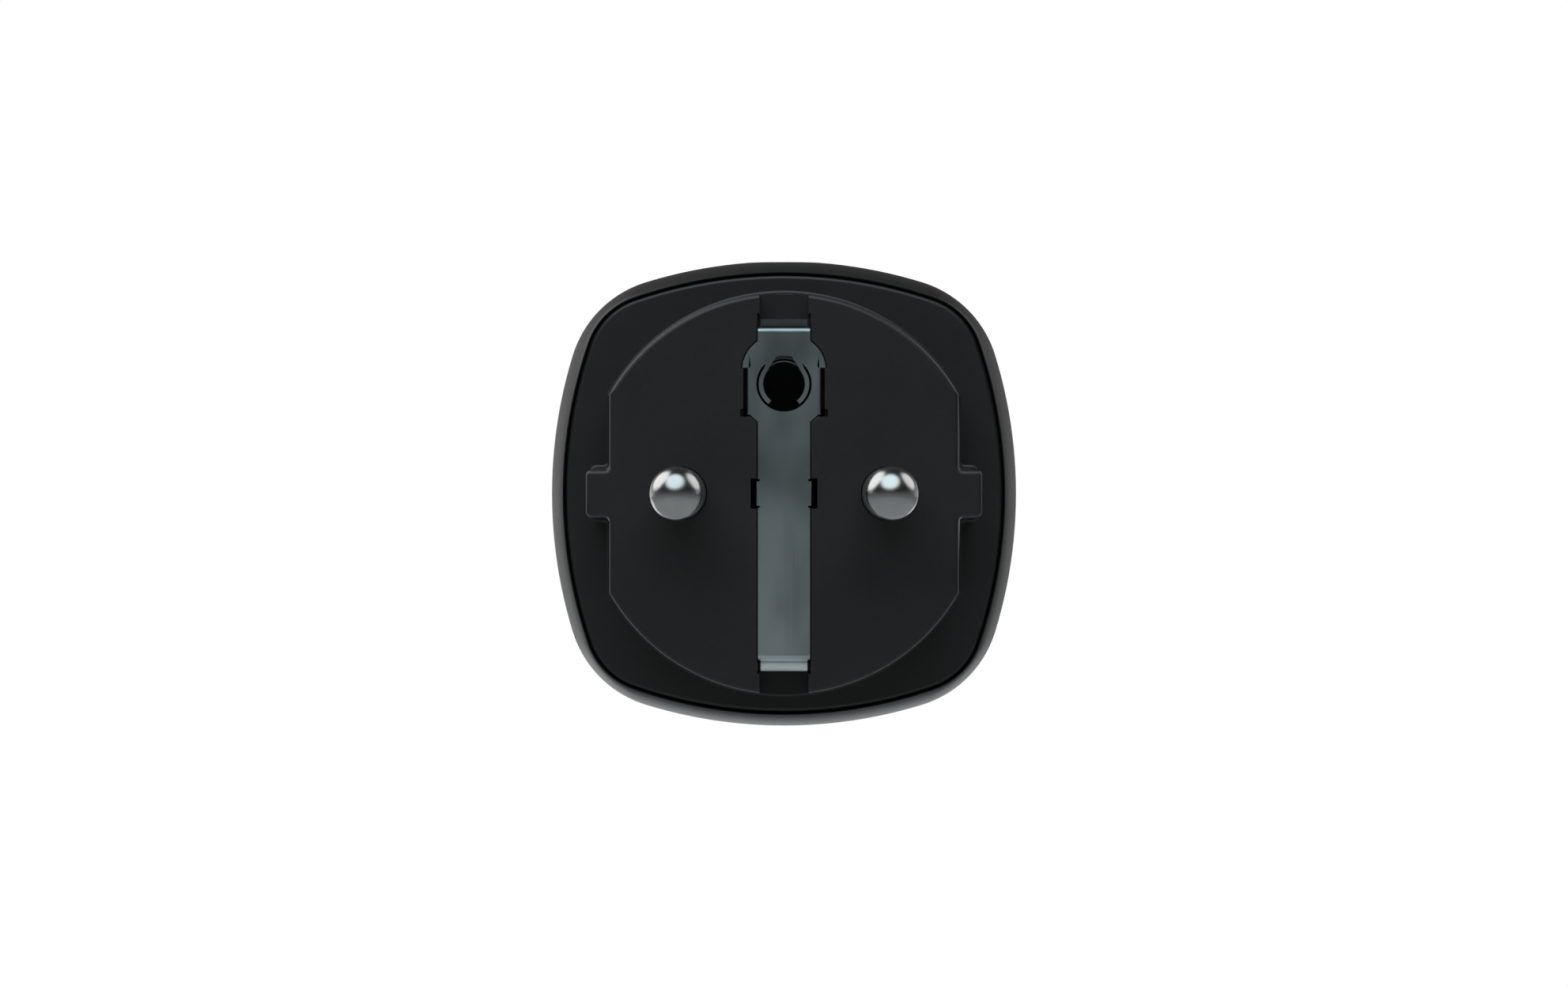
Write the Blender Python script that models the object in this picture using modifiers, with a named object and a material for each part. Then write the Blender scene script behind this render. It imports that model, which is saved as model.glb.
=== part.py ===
"""Smart plug: a two-pin plug with side earth contacts behind, a shuttered socket in front.

The plug axis is Y and the pins point to -Y. The origin is on the plug's front face, midway
between the pins. Z is up. Every size below is in millimetres, and MM turns it into metres
where a mesh, a curve or a location is made.
"""

import math

import bmesh
import bpy
from mathutils import Matrix

MM = 0.001

# Clearances
GAP = 0.3  # between pieces that touch or seat on each other
SEAM = 0.18  # round the rear cover in the mouth of the shell
SLIDE_GAP = 0.3  # round the button and the switch plunger
INSET = 0.05  # of a joined shape from the face it grows out of, so that no faces coincide
BEYOND = 2.0  # how far a cutter runs on past an outer face

# Body
BODY_HALF = 22.25  # centre to the middle of a side, at the widest
SIDE_R = 45.0  # radius of the bowed sides
CORNER_R = 10.7  # radius of the corners
BODY_FRONT_Y = 51.5
SHELL_WALL = 1.35
SHELL_LEDGE = 0.8  # how far the ledge behind the rear cover stands in from the wall
SHELL_LEDGE_LENGTH = 1.4
SHELL_REAR_INSET = 1.33
SHELL_RIM_EDGE = 0.24  # thickness of the shell where it meets the rear cover
SHELL_WIDEST_FROM_REAR = 10.0
SHELL_FRONT_INSET = 0.35
SHELL_FLARE = 0.92  # share of a quarter round that the flare behind the widest place follows
SHELL_FLARE_STATIONS = (0.0, 0.08, 0.2, 0.4, 0.65, 1.0)
SHELL_TAPER_STATIONS = (0.5, 1.0)
BEZEL_THICKNESS = 1.5
BEZEL_INSET = 0.65
RING_THICKNESS = 0.9
RING_INSET = 0.4

# Plug body
PLUG_DEPTH = 17.0
PLUG_R = 18.35
PLUG_FLAT_X = 15.96
PLUG_DRAFT = 0.45  # how much wider the plug body is at its foot
TAB_REACH = 2.14  # of the guide tabs beyond the flats
TAB_HALF_Z = 2.13
TAB_DRAFT = 0.24
FACE_THICKNESS = 1.8
PLUG_WALL = 1.9
FLANGE_THICKNESS = 1.6
SEAT_HEIGHT = 0.4  # the raised seat of the board on the flange
SEAT_INSET = 0.8

# Pins and contacts
PIN_D = 4.8
PIN_PITCH = 19.0
PIN_LENGTH = 19.0
PIN_BOSS_WALL = 1.3
PIN_BOSS_TOP_Y = 7.0
PIN_COLLAR_WIDTH = 1.0
PIN_COLLAR_THICKNESS = 1.2
CONTACT_WALL = 0.55
CONTACT_EASE = 0.15  # between a mating pin and a socket contact
CONTACT_BEHIND_BOARD = 4.6
CONTACT_SLIT = 0.6
CONTACT_SLIT_START = 2.4  # above the board
CONTACT_LEG_HALF_X = 1.0
CONTACT_LEG_RISE = 0.8  # above the board
CONTACT_LEG_REACH = 1.6  # beyond the web of the board round the contact
BUSBAR_WIDTH = 3.0
BUSBAR_THICKNESS = 0.7
BUSBAR_START_Z = 2.0
BUSBAR_TAIL = 1.0  # of its leg above the board
BUSBAR_EASE = 0.2  # more than GAP between its leg and the relay

# Earth
EARTH_HOLE_Z = 10.0
EARTH_HOLE_R = 2.525
SLEEVE_R = 2.9
SLEEVE_MOUTH_R = 2.33
SLEEVE_WALL = 0.4
SLEEVE_LENGTH = 12.7
SLEEVE_TAPER = 4.5  # length of its narrowing mouth
SLEEVE_SLOT = 2.9
SLEEVE_SLOT_RUN = 3.0  # of the slot beyond the narrowing mouth
WELL_WALL = 1.0
STRIP_HALF_X = 2.38
STRIP_THICKNESS = 0.6
STRIP_SINK = 0.1  # of the strip's face below the plug face
STRIP_BEND_Z = 15.2
TONGUE_HALF_X = 2.15
TONGUE_LENGTH = 11.0
TONGUE_BULGE = 0.65
TONGUE_BULGE_START = 5.5
TONGUE_BULGE_END = 7.5
TONGUE_FOLD = 2.0
TONGUE_TIP_RISE = 0.1
CHANNEL_HALF_X = 2.55
CHANNEL_DEPTH = 12.0
CHANNEL_WALL = 0.8
CHANNEL_WALL_INSET = 1.2  # of the walls' outer end from the outside of the plug body
LUG_HALF_Z = 1.12
LUG_OUT_X = 2.6
LUG_LENGTH = 3.3
LUG_SLOT_IN_X = 1.65
LUG_SLOT_OUT_X = 3.05
HEAD_HALF_X = 3.46
HEAD_SHOULDER_X = 3.78
HEAD_SHOULDER_Z = 11.48
HEAD_TOP_Z = 13.88
HEAD_FOOT_Z = 7.2
HEAD_CHAMFER_Z = 6.53
LINK_HALF_X = 1.6
LINK_THICKNESS = 0.8

# Socket
RECESS_DEPTH = 17.5
RECESS_FLAT_INSET = 2.4  # of the flats from the round wall
RECESS_GROOVE_INSET = 0.4
RECESS_GROOVE_HALF_Z = 2.9
INSERT_WALL = 1.2
INSERT_FLOOR = 1.6
PIN_HOLE_EASE = 0.6  # round a mating pin
CLIP_HALF_X = 1.9
CLIP_THICKNESS = 0.6
CLIP_ROOT_INSET = 1.4  # of the arms from the round wall
CLIP_BOW = 1.3  # of the arms towards the plug
CLIP_BOW_FOOT = 2.0  # these heights are above the floor of the recess
CLIP_BOW_START = 6.5
CLIP_BOW_END = 8.5
CLIP_HEIGHT = 12.0
CLIP_TIP_FLARE = 0.4
CLIP_SLOT_IN = 1.0
CLIP_SLOT_WALL = 0.2

# Shutter and contact carrier
SHUTTER_MARGIN = 0.1  # of its blades beyond the pin holes
SHUTTER_HALF_ANGLE = math.radians(20)
SHUTTER_THICKNESS = 2.4
SHUTTER_HUB_WALL = 2.4
SHUTTER_BLADE_ROOT = 4.4  # half width of a blade where it leaves the hub
POST_R = 2.9
POST_BORE_R = 2.05
CARRIER_THICKNESS = 2.6
CARRIER_BEYOND_SHUTTER = 2.6
CARRIER_HALF_Z = 7.0
CARRIER_CHAMFER = 3.0
CARRIER_TUBE_WALL = 1.1
CARRIER_TUBE_LENGTH = 2.4
PILLAR_R = 1.2
PILLAR_INSET = 1.5  # of its axis from the end of the carrier
PILLAR_Z = 3.6
SPRING_WIRE_R = 0.2
SPRING_ROOM_WIDTH = 1.5
SPRING_TURNS = 2
SPRING_STEPS = 16  # per turn
SPRING_PITCH = 0.45
SPRING_ROOM = SPRING_TURNS * SPRING_PITCH + 2 * SPRING_WIRE_R + 0.2

# Boards and the larger components
BOARD_THICKNESS = 1.6
BOARD_INSET = 2.75  # of its edge from the widest outline of the body
BOARD_WEB = 0.6  # round what passes through the board
LEAD_R = 0.35
LEAD_BURY = 0.2  # of a lead in the component it comes from
CAPACITOR_R = 3.5
CAPACITOR_HEIGHT = 11.2
CAPACITOR_X = 8.7
CAPACITOR_Z = 8.3
CAPACITOR_STANDOFF = 0.6
CAPACITOR_EDGE = 0.4
CAPACITOR_GROOVE_AT = 1.6
CAPACITOR_GROOVE_DEPTH = 0.3
CAPACITOR_LEAD_X = 1.25
CONTROL_BOARD_HALF_X = 8.0
CONTROL_BOARD_THICKNESS = 0.8
CONTROL_BOARD_Z = 13.4
CONTROL_BOARD_RISE = 0.4  # of its lower edge above the power board's gap
CONTROL_BOARD_EASE = 0.1  # of its upper edge below the shutter's face
CONNECTOR_HALF_X = 5.0
CONNECTOR_THICKNESS = 2.5
CONNECTOR_HEIGHT = 2.6
WIFI_BOARD_X = (-17.2, -16.4)
WIFI_BOARD_Z = (-7.0, 8.0)
WIFI_BOARD_HEIGHT = 10.0
WIFI_SHIELD_X = (-19.2, -17.5)
WIFI_SHIELD_Z = (-6.0, 4.5)
WIFI_SHIELD_HEIGHTS = (0.8, 7.0)

# Components on the power board: their x range, z range and height
BRIDGE_RECTIFIER = ((-13.0, -8.5), (-11.0, -7.0), 2.4)
SWITCHER_CHIP = ((-2.5, 2.5), (-10.0, -6.0), 1.5)
METERING_CHIP = ((-2.5, 2.5), (4.6, 8.6), 1.5)
FILM_CAPACITOR = ((-12.0, -1.0), (-17.0, -12.2), 8.8)

# Components with a profile: points of (x, height) or (radius, height), in the piece's own frame
SHUNT_PATH = [(10.0, 0.4), (11.2, 0.4), (11.8, 1.6), (15.2, 1.6), (15.8, 0.4), (17.0, 0.4)]
SHUNT_THICKNESS = 0.5
SHUNT_Z = (8.0, 11.0)
FUSE_PROFILE = [
    (0, 4.0), (1.5, 4.0), (1.5, 2.6), (1.3, 2.4), (1.3, -2.4), (1.5, -2.6), (1.5, -4.0), (0, -4.0)]
FUSE_PLACE = (-12.6, 1.6, 11.6)
VARISTOR_PROFILE = [(0, 1.5), (3.2, 1.5), (3.6, 1.1), (3.6, -1.1), (3.2, -1.5), (0, -1.5)]
VARISTOR_PLACE = (6.0, 3.7, -14.5)
INDUCTOR_PROFILE = [
    (0, 6.6), (3.2, 6.6), (3.2, 5.6), (2.5, 5.3), (2.5, 1.3), (3.2, 1.0), (3.2, 0), (0, 0)]
INDUCTOR_PLACE = (13.4, 0, -12.0)

# Relay
RELAY_LENGTH = 18.0
RELAY_WIDTH = 7.4
RELAY_HEIGHT = 13.8
RELAY_TOP_Z = -5.7
RELAY_WALL = 0.6
RELAY_STANDOFF = 0.2
RELAY_BASE_THICKNESS = 1.2
RELAY_CONTACT_GAP = 0.9
COIL_X = -4.0
COIL_R = 2.5
COIL_BORE_R = 1.2
CORE_R = 0.9
CORE_ABOVE_HINGE = 1.0
CORE_TIP = 0.8  # bare length of the core beside the armature
STEEL_REACH = 2.4  # of the yoke and the armature beyond the coil's axis
STEEL_HALF_Z = 2.2
YOKE_THICKNESS = 0.8
YOKE_ABOVE_HINGE = 0.6
HINGE_X = -0.1
HINGE_RISE = 1.5  # above the floor of the case
ARMATURE_THICKNESS = 0.6
ARMATURE_ARM_X = 1.3  # from the hinge to the upright arm
ARMATURE_ARM_LENGTH = 3.6
BLADE_THICKNESS = 0.25
BLADE_HALF_Z = 1.6
BLADE_ABOVE_HINGE = 0.6
BLADE_BELOW_BASE = 1.6
CONTACT_BUTTON_R = 0.8
CONTACT_BUTTON_REACH = 1.0  # with the blade it is set in
CONTACT_BUTTON_BELOW_BASE = 2.6
FIXED_CONTACT_THICKNESS = 0.8
FIXED_CONTACT_DROP = 1.2  # below the middle of the moving contact

# Button and switch
BUTTON_R = 3.2
BUTTON_Y = 26.0
BUTTON_TRAVEL = 0.5
BUTTON_STEM_R = 1.6
BUTTON_FLANGE_R = 4.1
BUTTON_FLANGE_THICKNESS = 0.7
BUTTON_FLANGE_DROP = 0.2  # more than GAP below the inside of the shell
BUTTON_EDGE = 0.3
BUTTON_HOLE_DEPTH = 4.0
SWITCH_SIDE = 6.0
SWITCH_HEIGHT = 3.5
SWITCH_FLOOR = 0.6
PLUNGER_R = 1.7
PLUNGER_STANDS = 1.2  # above the switch
DOME_HEIGHT = 0.7
DOME_PROFILE = [(0, DOME_HEIGHT), (1.0, 0.5), (1.5, 0.2), (1.5, 0), (0, 0.4)]

# Status light
LED_ANGLES = (("upper", math.pi / 4), ("lower", -3 * math.pi / 4))
LED_HALF = 0.9
LED_HEIGHT = 1.2
LED_LEG_OVERLAP = 0.2  # of a diode under the ring leg over it
RING_LEG_EASE = 0.1
RING_LEG_DEPTH = 1.4
RING_LEG_HALF = 1.2

# Where the pieces start and end along the plug axis
FLANGE_Y = PLUG_DEPTH
FLANGE_TOP_Y = FLANGE_Y + FLANGE_THICKNESS
SEAT_Y = FLANGE_TOP_Y + SEAT_HEIGHT
BOARD_Y = SEAT_Y + GAP
BOARD_TOP_Y = BOARD_Y + BOARD_THICKNESS
ON_BOARD_Y = BOARD_TOP_Y + GAP
UNDER_BOARD_Y = BOARD_Y - GAP
BEZEL_Y = BODY_FRONT_Y - BEZEL_THICKNESS
RING_Y = BEZEL_Y - GAP - RING_THICKNESS
SHELL_FRONT_Y = RING_Y - GAP
RECESS_FLOOR_Y = BODY_FRONT_Y - RECESS_DEPTH
INSERT_BACK_Y = RECESS_FLOOR_Y - INSERT_FLOOR
STRAP_Y = INSERT_BACK_Y - CLIP_THICKNESS - 4 * GAP
SHUTTER_TOP_Y = STRAP_Y - GAP
SHUTTER_Y = SHUTTER_TOP_Y - SHUTTER_THICKNESS
CARRIER_TOP_Y = SHUTTER_Y - GAP
CARRIER_Y = CARRIER_TOP_Y - CARRIER_THICKNESS
CONTACT_TOP_Y = CARRIER_TOP_Y - GAP
CONTACT_Y = BOARD_Y - CONTACT_BEHIND_BOARD

PIN_R = PIN_D / 2
PIN_X = PIN_PITCH / 2
PIN_COLLAR_R = PIN_R + PIN_COLLAR_WIDTH
PIN_HOLE_R = PIN_R + PIN_HOLE_EASE
SHUTTER_R = PIN_X + PIN_HOLE_R + SHUTTER_MARGIN
CONTACT_IN_R = PIN_R + CONTACT_EASE
CONTACT_OUT_R = CONTACT_IN_R + CONTACT_WALL
WELL_BORE_R = SLEEVE_R + GAP
WELL_R = WELL_BORE_R + WELL_WALL
WELL_BORE_Y = 1.2
WELL_TOP_Y = WELL_BORE_Y + GAP + SLEEVE_LENGTH + GAP
CONTACT_LEG_Z = CONTACT_OUT_R + BOARD_WEB + CONTACT_LEG_REACH
BUSBAR_LOW_Z = RELAY_TOP_Z + GAP + BUSBAR_EASE
CARRIER_HALF_X = SHUTTER_R + CARRIER_BEYOND_SHUTTER
SHELL_FLARE_DROP = 1 - math.sqrt(1 - SHELL_FLARE**2)
SHELL_REAR_HALF = BODY_HALF - SHELL_REAR_INSET
MOUTH_HALF = SHELL_REAR_HALF - SHELL_RIM_EDGE
STRIP_BACK_Y = STRIP_SINK + STRIP_THICKNESS
CHANNEL_FLOOR_Z = STRIP_BEND_Z - STRIP_THICKNESS - INSET - GAP
INSERT_R = BODY_HALF - SHELL_WALL - GAP
RECESS_R = INSERT_R - INSERT_WALL
RECESS_FLAT_X = RECESS_R - RECESS_FLAT_INSET
RECESS_GROOVE_X = RECESS_R - RECESS_GROOVE_INSET
CLIP_ROOT_Z = RECESS_R - CLIP_ROOT_INSET
CLIP_CONTACT_Z = CLIP_ROOT_Z - CLIP_BOW
SWITCH_BASE_Z = CONTROL_BOARD_Z + CONTROL_BOARD_THICKNESS + GAP
SWITCH_TOP_Z = SWITCH_BASE_Z + SWITCH_HEIGHT
PLUNGER_TOP_Z = SWITCH_TOP_Z + PLUNGER_STANDS
ROUND = 48  # sides of the largest round shapes
SMALL_ROUND = 24

LEFT_RIGHT = (("neutral", -1), ("line", 1))

parts = bpy.data.collections.new("smart_plug")
cutters = bpy.data.collections.new("smart_plug_cutters")


# Scene


def clear_scene():
    for obj in list(bpy.data.objects):
        bpy.data.objects.remove(obj, do_unlink=True)
    for collection in (parts, cutters):
        bpy.context.scene.collection.children.link(collection)


def place(obj, helper=False):
    """Links an object as a part, or as a helper that is drawn as wire and never rendered."""
    if helper:
        cutters.objects.link(obj)
        obj.hide_render = True
        obj.display_type = "WIRE"
    else:
        parts.objects.link(obj)
    return obj


def srgb(*channels):
    """Linear colour of an 8-bit display colour."""
    values = [channel / 255 for channel in channels]
    return [v / 12.92 if v <= 0.04045 else ((v + 0.055) / 1.055) ** 2.4 for v in values]


def paint(obj, name, colour, roughness, metallic=0.0):
    """Gives an object its own plain material."""
    material = bpy.data.materials.new(name)
    material.use_nodes = True
    shader = material.node_tree.nodes["Principled BSDF"]
    shader.inputs["Base Color"].default_value = (*srgb(*colour), 1.0)
    shader.inputs["Roughness"].default_value = roughness
    shader.inputs["Metallic"].default_value = metallic
    obj.data.materials.clear()
    obj.data.materials.append(material)
    return obj


def black_plastic(obj):
    return paint(obj, obj.name + "_plastic", (30, 30, 30), 0.55)


def white_plastic(obj):
    return paint(obj, obj.name + "_plastic", (206, 204, 196), 0.45)


def component_plastic(obj, colour):
    return paint(obj, obj.name + "_moulding", colour, 0.5)


def plated(obj):
    return paint(obj, obj.name + "_plating", (205, 205, 203), 0.15, 1.0)


def spring_steel(obj):
    return paint(obj, obj.name + "_steel", (150, 162, 166), 0.35, 1.0)


def copper_alloy(obj):
    return paint(obj, obj.name + "_alloy", (196, 150, 92), 0.3, 1.0)


def board_laminate(obj):
    return paint(obj, obj.name + "_laminate", (24, 74, 46), 0.45)


# Outlines: lists of (u, v) points, counter-clockwise


def arc(centre, radius, start, end, steps):
    """Points along an arc, both ends included."""
    angles = [start + (end - start) * i / steps for i in range(steps + 1)]
    return [(centre[0] + radius * math.cos(a), centre[1] + radius * math.sin(a)) for a in angles]


def circle(centre, radius, steps=SMALL_ROUND):
    return arc(centre, radius, 0.0, 2 * math.pi, steps)[:-1]


def rectangle(low, high):
    return [(low[0], low[1]), (high[0], low[1]), (high[0], high[1]), (low[0], high[1])]


def turn(points, angle):
    cosine, sine = math.cos(angle), math.sin(angle)
    return [(u * cosine - v * sine, u * sine + v * cosine) for u, v in points]


def body_outline(half, side_steps=6, corner_steps=5):
    """Square with bowed sides and round corners, as an even offset of the widest one."""
    offset = half - BODY_HALF
    side_r = SIDE_R + offset
    corner_r = CORNER_R + offset
    # The corner's centre lies on the diagonal, where both arcs share a tangent.
    reach = SIDE_R - CORNER_R
    shift = BODY_HALF - SIDE_R
    centre = (shift + math.sqrt(2 * reach**2 - shift**2)) / 2
    side_angle = math.atan2(centre, centre - shift)
    side = arc((shift, 0.0), side_r, -side_angle, side_angle, side_steps)
    corner = arc((centre, centre), corner_r, side_angle, math.pi / 2 - side_angle, corner_steps)
    quarter = side + corner[1:-1]
    return [p for i in range(4) for p in turn(quarter, i * math.pi / 2)]


def flatted_circle(radius, flat, tab_x, tab_z, steps=20):
    """Circle cut off at x = +-flat, with a tab of half height tab_z on each flat."""
    start = math.acos(flat / radius)
    upper = arc((0, 0), radius, start, math.pi - start, steps)
    left = [(-flat, tab_z), (-tab_x, tab_z), (-tab_x, -tab_z), (-flat, -tab_z)]
    lower = [(-u, -v) for u, v in upper]
    right = [(-u, -v) for u, v in left]
    return upper + left + lower + right


def plug_outline(grow=0.0, tab_grow=0.0):
    flat = PLUG_FLAT_X + grow
    return flatted_circle(PLUG_R + grow, flat, flat + TAB_REACH - grow, TAB_HALF_Z + tab_grow)


def ribbon(path, thickness):
    """Outline of a strip of even thickness bent along a path."""
    normals = []
    for (u0, v0), (u1, v1) in zip(path, path[1:]):
        length = math.hypot(u1 - u0, v1 - v0)
        normals.append(((v0 - v1) / length, (u1 - u0) / length))
    pairs = zip([normals[0]] + normals, normals + [normals[-1]])
    left, right = [], []
    for (u, v), ((a, b), (c, d)) in zip(path, pairs):
        share = thickness / 2 / (1 + a * c + b * d)
        du, dv = (a + c) * share, (b + d) * share
        left.append((u + du, v + dv))
        right.append((u - du, v - dv))
    return right + left[::-1]


# Solids

FILL_TURN = 0.37  # radians: a curve fills well only where none of its edges is exactly level
TURNS = {"x": (math.pi / 2, 0, math.pi / 2), "y": (math.pi / 2, 0, 0), "z": (0, 0, 0)}
AXIS_INDEX = {"x": 0, "y": 1, "z": 2}


def mesh_of(curve_object, helper):
    """A mesh object in place of a curve object, with its caps welded on."""
    bpy.context.scene.collection.objects.link(curve_object)
    bpy.context.view_layer.update()
    graph = bpy.context.evaluated_depsgraph_get()
    mesh = bpy.data.meshes.new_from_object(curve_object.evaluated_get(graph))
    edit = bmesh.new()
    edit.from_mesh(mesh)
    bmesh.ops.remove_doubles(edit, verts=edit.verts, dist=0.00001 * MM)
    bmesh.ops.recalc_face_normals(edit, faces=edit.faces)
    edit.to_mesh(mesh)
    edit.free()
    name = curve_object.name
    curve_object.name = name + "_curve"
    obj = bpy.data.objects.new(name, mesh)
    obj.matrix_world = curve_object.matrix_world
    bpy.data.objects.remove(curve_object, do_unlink=True)
    return place(obj, helper)


def slab(name, outlines, axis, low, high, helper=False):
    """Flat outline between two heights on an axis. Further outlines are holes in the first.

    Across x an outline is (y, z), across y it is (x, z), and across z it is (x, y).
    """
    curve = bpy.data.curves.new(name, "CURVE")
    curve.dimensions = "2D"
    curve.fill_mode = "BOTH"
    curve.extrude = (high - low) / 2 * MM
    for outline in outlines:
        spline = curve.splines.new("POLY")
        spline.points.add(len(outline) - 1)
        for point, (u, v) in zip(spline.points, turn(outline, FILL_TURN)):
            point.co = (u * MM, v * MM, 0, 1)
        spline.use_cyclic_u = True
    obj = mesh_of(bpy.data.objects.new(name, curve), helper)
    obj.data.transform(Matrix.Rotation(-FILL_TURN, 4, "Z"))
    obj.rotation_euler = TURNS[axis]
    obj.location[AXIS_INDEX[axis]] = (low + high) / 2 * MM
    return obj


def loft(name, sections, helper=False):
    """Skin through outlines (y, points) of equal point counts, closed at both ends."""
    edit = bmesh.new()
    rings = []
    for y, outline in sections:
        rings.append([edit.verts.new((u * MM, y * MM, v * MM)) for u, v in outline])
    for near, far in zip(rings, rings[1:]):
        for i, vert in enumerate(near):
            edit.faces.new((vert, near[i - 1], far[i - 1], far[i]))
    edit.faces.new(rings[0])
    edit.faces.new(rings[-1])
    bmesh.ops.recalc_face_normals(edit, faces=edit.faces)
    mesh = bpy.data.meshes.new(name)
    edit.to_mesh(mesh)
    edit.free()
    return place(bpy.data.objects.new(name, mesh), helper)


def box(name, low, high, helper=False):
    edit = bmesh.new()
    bmesh.ops.create_cube(edit, size=1.0)
    size = [(b - a) * MM for a, b in zip(low, high)]
    bmesh.ops.scale(edit, verts=edit.verts, vec=size)
    mesh = bpy.data.meshes.new(name)
    edit.to_mesh(mesh)
    edit.free()
    obj = bpy.data.objects.new(name, mesh)
    obj.location = [(a + b) / 2 * MM for a, b in zip(low, high)]
    return place(obj, helper)


AXIS_TURNS = {"x": (0, math.pi / 2, 0), "y": (-math.pi / 2, 0, 0), "z": (0, 0, 0)}


def turned(name, profile, at, axis="y", steps=SMALL_ROUND, ring=False, helper=False):
    """Profile of (radius, height) points, from the top down its outer side, turned on an axis.

    A ring's profile runs on up its inner side and closes on itself.
    """
    mesh = bpy.data.meshes.new(name)
    points = [(radius * MM, 0, height * MM) for radius, height in profile]
    edges = [(i, i + 1) for i in range(len(points) - 1)]
    if ring:
        edges.append((len(points) - 1, 0))
    mesh.from_pydata(points, edges, [])
    obj = bpy.data.objects.new(name, mesh)
    obj.location = [a * MM for a in at]
    obj.rotation_euler = AXIS_TURNS[axis]
    screw = obj.modifiers.new("turn", "SCREW")
    screw.steps = steps
    screw.render_steps = steps
    screw.use_merge_vertices = True
    screw.merge_threshold = 0.001 * MM
    return place(obj, helper)


def rod(name, radius, low, high, at, axis="y", steps=SMALL_ROUND, helper=False):
    profile = [(0, high), (radius, high), (radius, low), (0, low)]
    return turned(name, profile, at, axis, steps, helper=helper)


def tube(name, outer, inner, low, high, at, axis="y", steps=SMALL_ROUND, helper=False):
    profile = [(outer, high), (outer, low), (inner, low), (inner, high)]
    return turned(name, profile, at, axis, steps, ring=True, helper=helper)


def cut(target, *tools):
    for tool in tools:
        boolean = target.modifiers.new("cut", "BOOLEAN")
        boolean.operation = "DIFFERENCE"
        boolean.object = tool
    return target


def join(target, *pieces):
    for piece in pieces:
        boolean = target.modifiers.new("join", "BOOLEAN")
        boolean.operation = "UNION"
        boolean.object = piece
    return target


def smooth(obj, angle=math.radians(40)):
    obj.data.shade_smooth()
    obj.data.set_sharp_from_angle(angle=angle)
    return obj


# Plug side


def strip_outline(grow=0.0):
    """Earth strip seen from the pins: a band with a widened head round the earth hole."""
    half = STRIP_HALF_X + grow
    lug = LUG_OUT_X + grow
    head = HEAD_HALF_X + grow
    shoulder_r = HEAD_TOP_Z - HEAD_SHOULDER_Z + grow
    shoulder_x = HEAD_SHOULDER_X + grow - shoulder_r
    top_angle = math.acos((half - shoulder_x) / shoulder_r)
    end = STRIP_BEND_Z + grow
    right = [(half, -end), (half, -LUG_HALF_Z - grow), (lug, -LUG_HALF_Z - grow)]
    right += [(lug, LUG_HALF_Z + grow), (half, LUG_HALF_Z + grow)]
    shoulder = arc((shoulder_x, HEAD_SHOULDER_Z), shoulder_r, 0.0, top_angle, 6)
    shoulder[0] = (HEAD_SHOULDER_X + grow, HEAD_SHOULDER_Z - grow)
    right += [(half, HEAD_CHAMFER_Z - grow), (head, HEAD_FOOT_Z - grow), (head, shoulder[0][1])]
    right += shoulder + [(half, end)]
    return right + [(-u, v) for u, v in reversed(right)]


def make_rear_cover():
    foot = plug_outline(PLUG_DRAFT, TAB_DRAFT)
    cover = loft("rear_cover", [(0.0, plug_outline()), (FLANGE_Y + GAP, foot)])
    flange_half = MOUTH_HALF - SEAM
    flange = slab("flange", [body_outline(flange_half)], "y", FLANGE_Y, FLANGE_TOP_Y, helper=True)
    seat = slab("seat", [body_outline(flange_half - SEAT_INSET)], "y",
                FLANGE_Y + GAP, SEAT_Y, helper=True)
    inner_flat = PLUG_FLAT_X - PLUG_WALL
    hollow_outline = flatted_circle(PLUG_R - PLUG_WALL, inner_flat, inner_flat + GAP, TAB_HALF_Z)
    hollow = slab("hollow", [hollow_outline], "y", FACE_THICKNESS, SEAT_Y + GAP, helper=True)
    join(cover, flange, seat)
    cut(cover, hollow)
    well = rod("well", WELL_R, FACE_THICKNESS - GAP, WELL_TOP_Y + WELL_WALL,
               (0, 0, EARTH_HOLE_Z), helper=True)
    well_hole = turned("well_hole", [
        (0, WELL_TOP_Y), (WELL_BORE_R, WELL_TOP_Y), (WELL_BORE_R, WELL_BORE_Y),
        (EARTH_HOLE_R, WELL_BORE_Y), (EARTH_HOLE_R, -GAP), (0, -GAP)],
        (0, 0, EARTH_HOLE_Z), helper=True)
    join(cover, well)
    for side in (-1, 1):
        boss = rod(f"pin_boss_{side}", PIN_R + GAP + PIN_BOSS_WALL, FACE_THICKNESS - GAP,
                   PIN_BOSS_TOP_Y, (side * PIN_X, 0, 0), helper=True)
        join(cover, boss, channel_block(side))
    cut(cover, well_hole)
    pocket = slab("strip_pocket", [strip_outline(GAP)], "y",
                  -GAP, STRIP_BACK_Y + GAP, helper=True)
    cut(cover, pocket)
    for side in (-1, 1):
        hole = rod(f"pin_hole_{side}", PIN_R + GAP, -GAP, PIN_BOSS_TOP_Y + GAP,
                   (side * PIN_X, 0, 0), steps=28, helper=True)
        near, far = sorted((side * LUG_SLOT_IN_X, side * LUG_SLOT_OUT_X))
        slot_half = LUG_HALF_Z + GAP + INSET
        slot = box(f"lug_slot_{side}", (near, -GAP, -slot_half),
                   (far, FACE_THICKNESS + GAP, slot_half), helper=True)
        cut(cover, hole, slot, channel_cut(side))
    return black_plastic(cover)


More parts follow.
